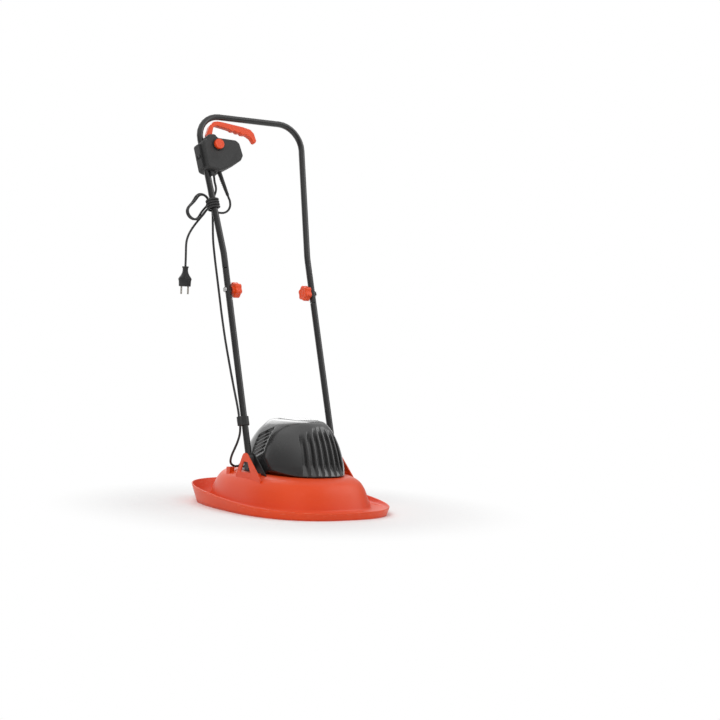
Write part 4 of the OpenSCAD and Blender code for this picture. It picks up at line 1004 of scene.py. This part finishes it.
def make_spring():
    front = BUTTON_SKIRT - BOX_DEPTH + SPRING_SEAT
    back = -POST_GAP - SPRING_SEAT
    middle = box_point(BUTTON_SHARE)
    count = SPRING_TURNS * LOOP_POINTS
    route = []
    for i in range(count + 1):
        a = 2 * math.pi * i / LOOP_POINTS
        along = mix(front + SPRING_WIRE_R, back - SPRING_WIRE_R, i / count)
        route.append(off_box(middle.x + SPRING_R * math.cos(a), along, middle.y - SPRING_R * math.sin(a)))
    verts, faces = loft(tube_rings(route, SPRING_WIRE_R * MM, SPRING_WIRE_SIDES))
    made = piece("button_coil", verts, faces, steel, "upper_handle", ["button_spring"])
    tuple(off_box(middle.x, back, middle.y))
    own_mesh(made)


make_spring()

# Motor cable: held along the right-hand leg, in two pieces parted at the handle's fold joint
UPPER_CABLE = [(-126, 0, 728), (-126, 0, 720), (-126, 0, 712), (-122, 4, 694), (-126, 9, 678),
               (-136, 11, 666), (-136, 11.5, 650), (-136, 12, 630), (-137, 16, 600), (-139, 20, 560),
               (-139, 22, 510), (-139, 22, 470), (-139, 22, 428)]
LOWER_CABLE = [(-139, 22, 428), (-139, 22, 400), (-139, 22, 370), (-139, 20, 310), (-139, 15, 250),
               (-139, 8, 185), (-139, 2, 140), (-139, 0, 118), (-139, 0, 98), (-139, 0, 80)]
DECK_CABLE = [(-139, 17, 180), (-139, 25, 162), (-138, 38, 145), (-136, 54, 127), (-130, 70, 111),
              (-120, 82, 101), (-108, 86, 95), (-101, 86, 95), (-94, 86, 95)]
CABLE_STEPS = 6
CABLE_SIDES = 16
FOLD_BEND_START = off_handle(-139, 22, 432)
FOLD_BEND_END = off_handle(-139, 22, 540)
PIVOT_BEND_END = off_handle(-139, 0, 80)


def make_cable(name, points, stands_for):
    verts, faces = loft(tube_rings(smooth_route(points, CABLE_STEPS), CORD_D / 2, CABLE_SIDES))
    made = piece(name, verts, faces, cord_black, None, [stands_for])
    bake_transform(made)


upper_points = [off_handle(*p) for p in UPPER_CABLE]
lower_points = [off_handle(*p) for p in LOWER_CABLE] + [Vector(p) * MM for p in DECK_CABLE]
make_cable("motor_cable_at_fold", upper_points, "motor_cable_upper")
make_cable("motor_cable_at_pivot", lower_points, "motor_cable_lower")

# Strain relief: rings along its tapered sleeve, set by a node tree
RELIEF_TOP = off_handle(-110.4, 0, 739)
RELIEF_TIP = off_handle(*LEAD_ROUTE[0])
RELIEF_START_SHARE = 0.3
RELIEF_END_SHARE = 0.93
RELIEF_RINGS = 9
RELIEF_FIRST_R = 0.0049
RELIEF_LAST_R = 0.0038
RELIEF_RING_R = 0.0008
RELIEF_RING_SIDES = 40
RELIEF_SECTION_SIDES = 10
RING_INPUTS = {"Start": "NodeSocketVector", "End": "NodeSocketVector", "Rings": "NodeSocketInt",
               "First radius": "NodeSocketFloat", "Last radius": "NodeSocketFloat",
               "Ring thickness": "NodeSocketFloat"}


def ring_tree(finish):
    """Node tree: rings of falling size along a straight line, and the identifiers of its inputs."""
    tree = bpy.data.node_groups.new("relief_rings", "GeometryNodeTree")
    tree.interface.new_socket("Geometry", in_out="OUTPUT", socket_type="NodeSocketGeometry")
    sockets = {}
    for name, kind in RING_INPUTS.items():
        sockets[name] = tree.interface.new_socket(name, in_out="INPUT", socket_type=kind).identifier
    rings = NodeTree(tree)
    given = {name: rings.node("NodeGroupInput", output=name) for name in RING_INPUTS}
    line = rings.node("GeometryNodeMeshLine", {"mode": "END_POINTS"},
                      {"Count": given["Rings"], "Start Location": given["Start"], "Offset": given["End"]})
    ring = rings.node("GeometryNodeCurvePrimitiveCircle",
                      inputs={"Resolution": RELIEF_RING_SIDES, "Radius": 1.0})
    share = rings.node("GeometryNodeInputIndex") / (given["Rings"] - 1)
    size = rings.node("ShaderNodeMix", output="Result",
                      inputs={"Factor": share, "A": given["First radius"], "B": given["Last radius"]})
    along = rings.node("ShaderNodeVectorMath", {"operation": "SUBTRACT"},
                       {0: given["End"], 1: given["Start"]})
    turn = rings.node("FunctionNodeAlignRotationToVector", {"axis": "Z"}, {"Vector": along})
    placed = rings.node("GeometryNodeInstanceOnPoints",
                        inputs={"Points": line, "Instance": ring, "Rotation": turn, "Scale": size})
    real = rings.node("GeometryNodeRealizeInstances", inputs={"Geometry": placed})
    section = rings.node("GeometryNodeCurvePrimitiveCircle",
                         inputs={"Resolution": RELIEF_SECTION_SIDES, "Radius": given["Ring thickness"]})
    sweep = rings.node("GeometryNodeCurveToMesh", inputs={"Curve": real, "Profile Curve": section})
    finished = rings.node("GeometryNodeSetMaterial",
                          inputs={"Geometry": sweep, "Material": finish.material})
    rings.put(tree.nodes.new("NodeGroupOutput").inputs["Geometry"], finished)
    return tree, sockets


def from_tree(name, tree, sockets, values, body):
    """A plain mesh made by a node tree with the given inputs."""
    holder = bpy.data.objects.new(name, bpy.data.meshes.new(name + "_seed"))
    bpy.context.collection.objects.link(holder)
    modifier = holder.modifiers.new(name, "NODES")
    modifier.node_group = tree
    for key, value in values.items():
        modifier[sockets[key]] = value
    depsgraph = bpy.context.evaluated_depsgraph_get()
    mesh = bpy.data.meshes.new_from_object(holder.evaluated_get(depsgraph))
    holder.modifiers.remove(modifier)
    holder.data = mesh
    mesh.polygons.foreach_set("use_smooth", [True] * len(mesh.polygons))
    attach(holder, body)


def make_relief():
    tree, sockets = ring_tree(black)
    values = {"Start": tuple(RELIEF_TOP.lerp(RELIEF_TIP, RELIEF_START_SHARE)),
              "End": tuple(RELIEF_TOP.lerp(RELIEF_TIP, RELIEF_END_SHARE)), "Rings": RELIEF_RINGS,
              "First radius": RELIEF_FIRST_R, "Last radius": RELIEF_LAST_R, "Ring thickness": RELIEF_RING_R}
    from_tree("relief_rings", tree, sockets, values, "upper_handle")


make_relief()

# Finish, width of the rounded edges and names of the pieces that stay as they are packed
NODE_FINISHES = [
    (orange, 0.0007, ["handle_bracket_right", "handle_bracket_left", "cable_hook", "blade_spacers",
                      "lock_button"]),
    (silver, 0.0003, ["cover_top_plate"]),
    (charcoal, 0.0012, ["box_clamp_strap"]),
    (charcoal, 0, ["motor_mount", "motor_end_cap", "impeller_fan"]),
    (black, 0.0007, ["bracket_plate_right", "bracket_plate_left", "tube_ferrule_right", "tube_ferrule_left",
                     "cable_clip", "cord_hook", "strain_relief", "motor_cable_gland", "cable_grommet"]),
    # Painted shade: the button collar gets the darker copy of the black moulding.
    (collar_painted_shade, 0.0007, ["button_collar"]),
    (black, 0, ["microswitch", "carbon_brushes"]),
    (tube_paint, 0, ["lower_tube_right", "lower_tube_left", "upper_tube"]),
    (steel, 0.0003, ["cover_screws", "mount_screws", "bracket_screws", "pivot_pins", "joint_bolt_right",
                     "joint_bolt_left", "cutting_blade", "blade_washer", "blade_bolt"]),
    (dark_steel, 0.0003, ["box_screws"]),
    (steel, 0, ["motor_can", "stator", "lower_bearing", "upper_bearing", "motor_shaft", "lever_pin",
                "lever_spring"]),
    (copper, 0, ["armature", "commutator"]),
    (plated, 0.0006, ["plug_pins"]),
]
MERGE_GAP = 0.00001
FLAT_ANGLE = math.radians(0.3)
EDGE_ANGLE = math.radians(32)
EDGE_SEGMENTS = 3


def dress(name, finish, edge):
    """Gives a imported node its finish, with merged, rounded and evenly shaded edges."""
    node = nodes[name]
    node.data.materials.clear()
    node.data.materials.append(finish.material)
    node.data.polygons.foreach_set("use_smooth", [True] * len(node.data.polygons))
    weld = node.modifiers.new("merge", "WELD")
    weld.merge_threshold = MERGE_GAP
    if edge:
        flat = node.modifiers.new("flats", "DECIMATE")
        flat.decimate_type = "DISSOLVE"
        flat.angle_limit = FLAT_ANGLE
        bevel = node.modifiers.new("edges", "BEVEL")
        bevel.width = edge
        bevel.segments = EDGE_SEGMENTS
        bevel.limit_method = "ANGLE"
        bevel.angle_limit = EDGE_ANGLE
    even_shading(node)


for finish, edge, names in NODE_FINISHES:
    for name in names:
        dress(name, finish, edge)

# Stage: floor, light and the camera
FLOOR_REACH = 12.0
WHITE_FROM = 0.34
WHITE_TO = 0.62
UNDER_HALF_X = 0.185
UNDER_HALF_Y = 0.245
UNDER_EDGE = 0.98
MATT_LIGHT = 0.5
LAMP_AIM = Vector((0, 0, 0.4))
CAMERA_AZIMUTH = math.radians(33.3)
CAMERA_YAW = math.radians(2.28)
CAMERA_PITCH = math.radians(-1.69)
CAMERA_ROLL = math.radians(2.36)
CAMERA_REACH = 4.06
CAMERA_Z = 0.49
CAMERA_LENS = 82.3
CAMERA_SENSOR = 36


def floor_finish():
    """Pale, plain white to the camera away from the mower, clear from below and under the deck."""
    pale = Finish("pale_floor")
    pale.set(Base_Color=grey(0.9), Roughness=0.9)
    seen = pale.node("ShaderNodeLightPath", output="Is Camera Ray")
    away = pale.step(pale.distance(pale.place), WHITE_FROM, WHITE_TO)
    white = pale.node("ShaderNodeEmission", inputs={"Color": grey(1.0), "Strength": 1.0})
    lit = pale.layers(away * seen, Wire(pale, pale.shader.outputs[0]), white)
    below = pale.node("ShaderNodeNewGeometry", output="Backfacing")
    shrink = (1 / UNDER_HALF_X, 1 / UNDER_HALF_Y, 0)
    shrunk = pale.node("ShaderNodeVectorMath", {"operation": "MULTIPLY"}, {0: pale.place, 1: shrink})
    under = 1 - pale.step(pale.distance(shrunk), UNDER_EDGE, 1.0)
    clear = pale.node("ShaderNodeBsdfTransparent")
    output = next(n for n in pale.tree.nodes if n.type == "OUTPUT_MATERIAL")
    pale.put(output.inputs["Surface"], pale.layers(pale.larger(below, under), lit, clear))
    return pale


def make_stage():
    corners = [(x * FLOOR_REACH, y * FLOOR_REACH, 0) for x, y in ((-1, -1), (1, -1), (1, 1), (-1, 1))]
    floor_mesh = bpy.data.meshes.new("floor")
    floor_mesh.from_pydata(corners, [], [(0, 1, 2, 3)])
    floor = bpy.data.objects.new("floor", floor_mesh)
    bpy.context.collection.objects.link(floor)
    floor_mesh.materials.append(floor_finish().material)


def make_world():
    """Soft light for matt faces, a bright top and rear wall for reflections, white to the camera."""
    world = bpy.data.worlds.new("studio")
    world.use_nodes = True
    bpy.context.scene.world = world
    world.node_tree.nodes.clear()
    sky = NodeTree(world.node_tree)
    way = sky.node("ShaderNodeTexCoord", output="Generated")
    top = sky.step(sky.node("ShaderNodeSeparateXYZ", inputs={0: way}, output="Z"),
                   low=0.15, high=0.85, start=0.25, end=1.1)
    wall = sky.step(sky.node("ShaderNodeSeparateXYZ", inputs={0: way}, output="Y"),
                    low=0.5, high=0.85, start=0.0, end=1.2)
    matt, shine, white = [sky.node("ShaderNodeBackground", inputs={"Color": grey(1.0), "Strength": strength})
                          for strength in (MATT_LIGHT, sky.larger(top, wall), 1.0)]
    lit = sky.layers(sky.node("ShaderNodeLightPath", output="Is Glossy Ray"), matt, shine)
    seen = sky.layers(sky.node("ShaderNodeLightPath", output="Is Camera Ray"), lit, white)
    sky.put(sky.tree.nodes.new("ShaderNodeOutputWorld").inputs["Surface"], seen)


def make_light(name, place, size, power, mirrored=True):
    """A round lamp, which shows in glossy faces if it is mirrored."""
    lamp = bpy.data.lights.new(name, "AREA")
    lamp.shape = "DISK"
    lamp.size = size
    lamp.energy = power
    made = bpy.data.objects.new(name, lamp)
    made.location = place
    made.visible_glossy = mirrored
    made.rotation_euler = (LAMP_AIM - Vector(place)).to_track_quat("-Z", "Y").to_euler()
    bpy.context.collection.objects.link(made)


def make_camera():
    camera = bpy.data.objects.new("camera", bpy.data.cameras.new("camera"))
    camera.data.lens = CAMERA_LENS
    camera.data.sensor_width = CAMERA_SENSOR
    bpy.context.collection.objects.link(camera)
    a = CAMERA_AZIMUTH + CAMERA_YAW
    ahead = Vector((math.sin(a) * math.cos(CAMERA_PITCH), math.cos(a) * math.cos(CAMERA_PITCH),
                    math.sin(CAMERA_PITCH)))
    right = Vector((math.cos(a), -math.sin(a), 0))
    up = right.cross(ahead)
    turned = Matrix((math.cos(CAMERA_ROLL) * right + math.sin(CAMERA_ROLL) * up,
                     math.cos(CAMERA_ROLL) * up - math.sin(CAMERA_ROLL) * right, -ahead)).transposed()
    place = Vector((-math.sin(CAMERA_AZIMUTH) * CAMERA_REACH, -math.cos(CAMERA_AZIMUTH) * CAMERA_REACH,
                    CAMERA_Z))
    camera.matrix_world = Matrix.Translation(place) @ turned.to_4x4()
    bpy.context.scene.camera = camera


make_stage()
make_world()
make_light("key", (-2.9, -2.2, 3.2), size=3.2, power=90, mirrored=False)
make_light("fill", (2.8, -1.6, 2.2), size=3.0, power=36)
make_light("back", (0.8, 3.0, 2.8), size=3.0, power=45)
make_camera()
bpy.context.scene.view_settings.view_transform = "Standard"
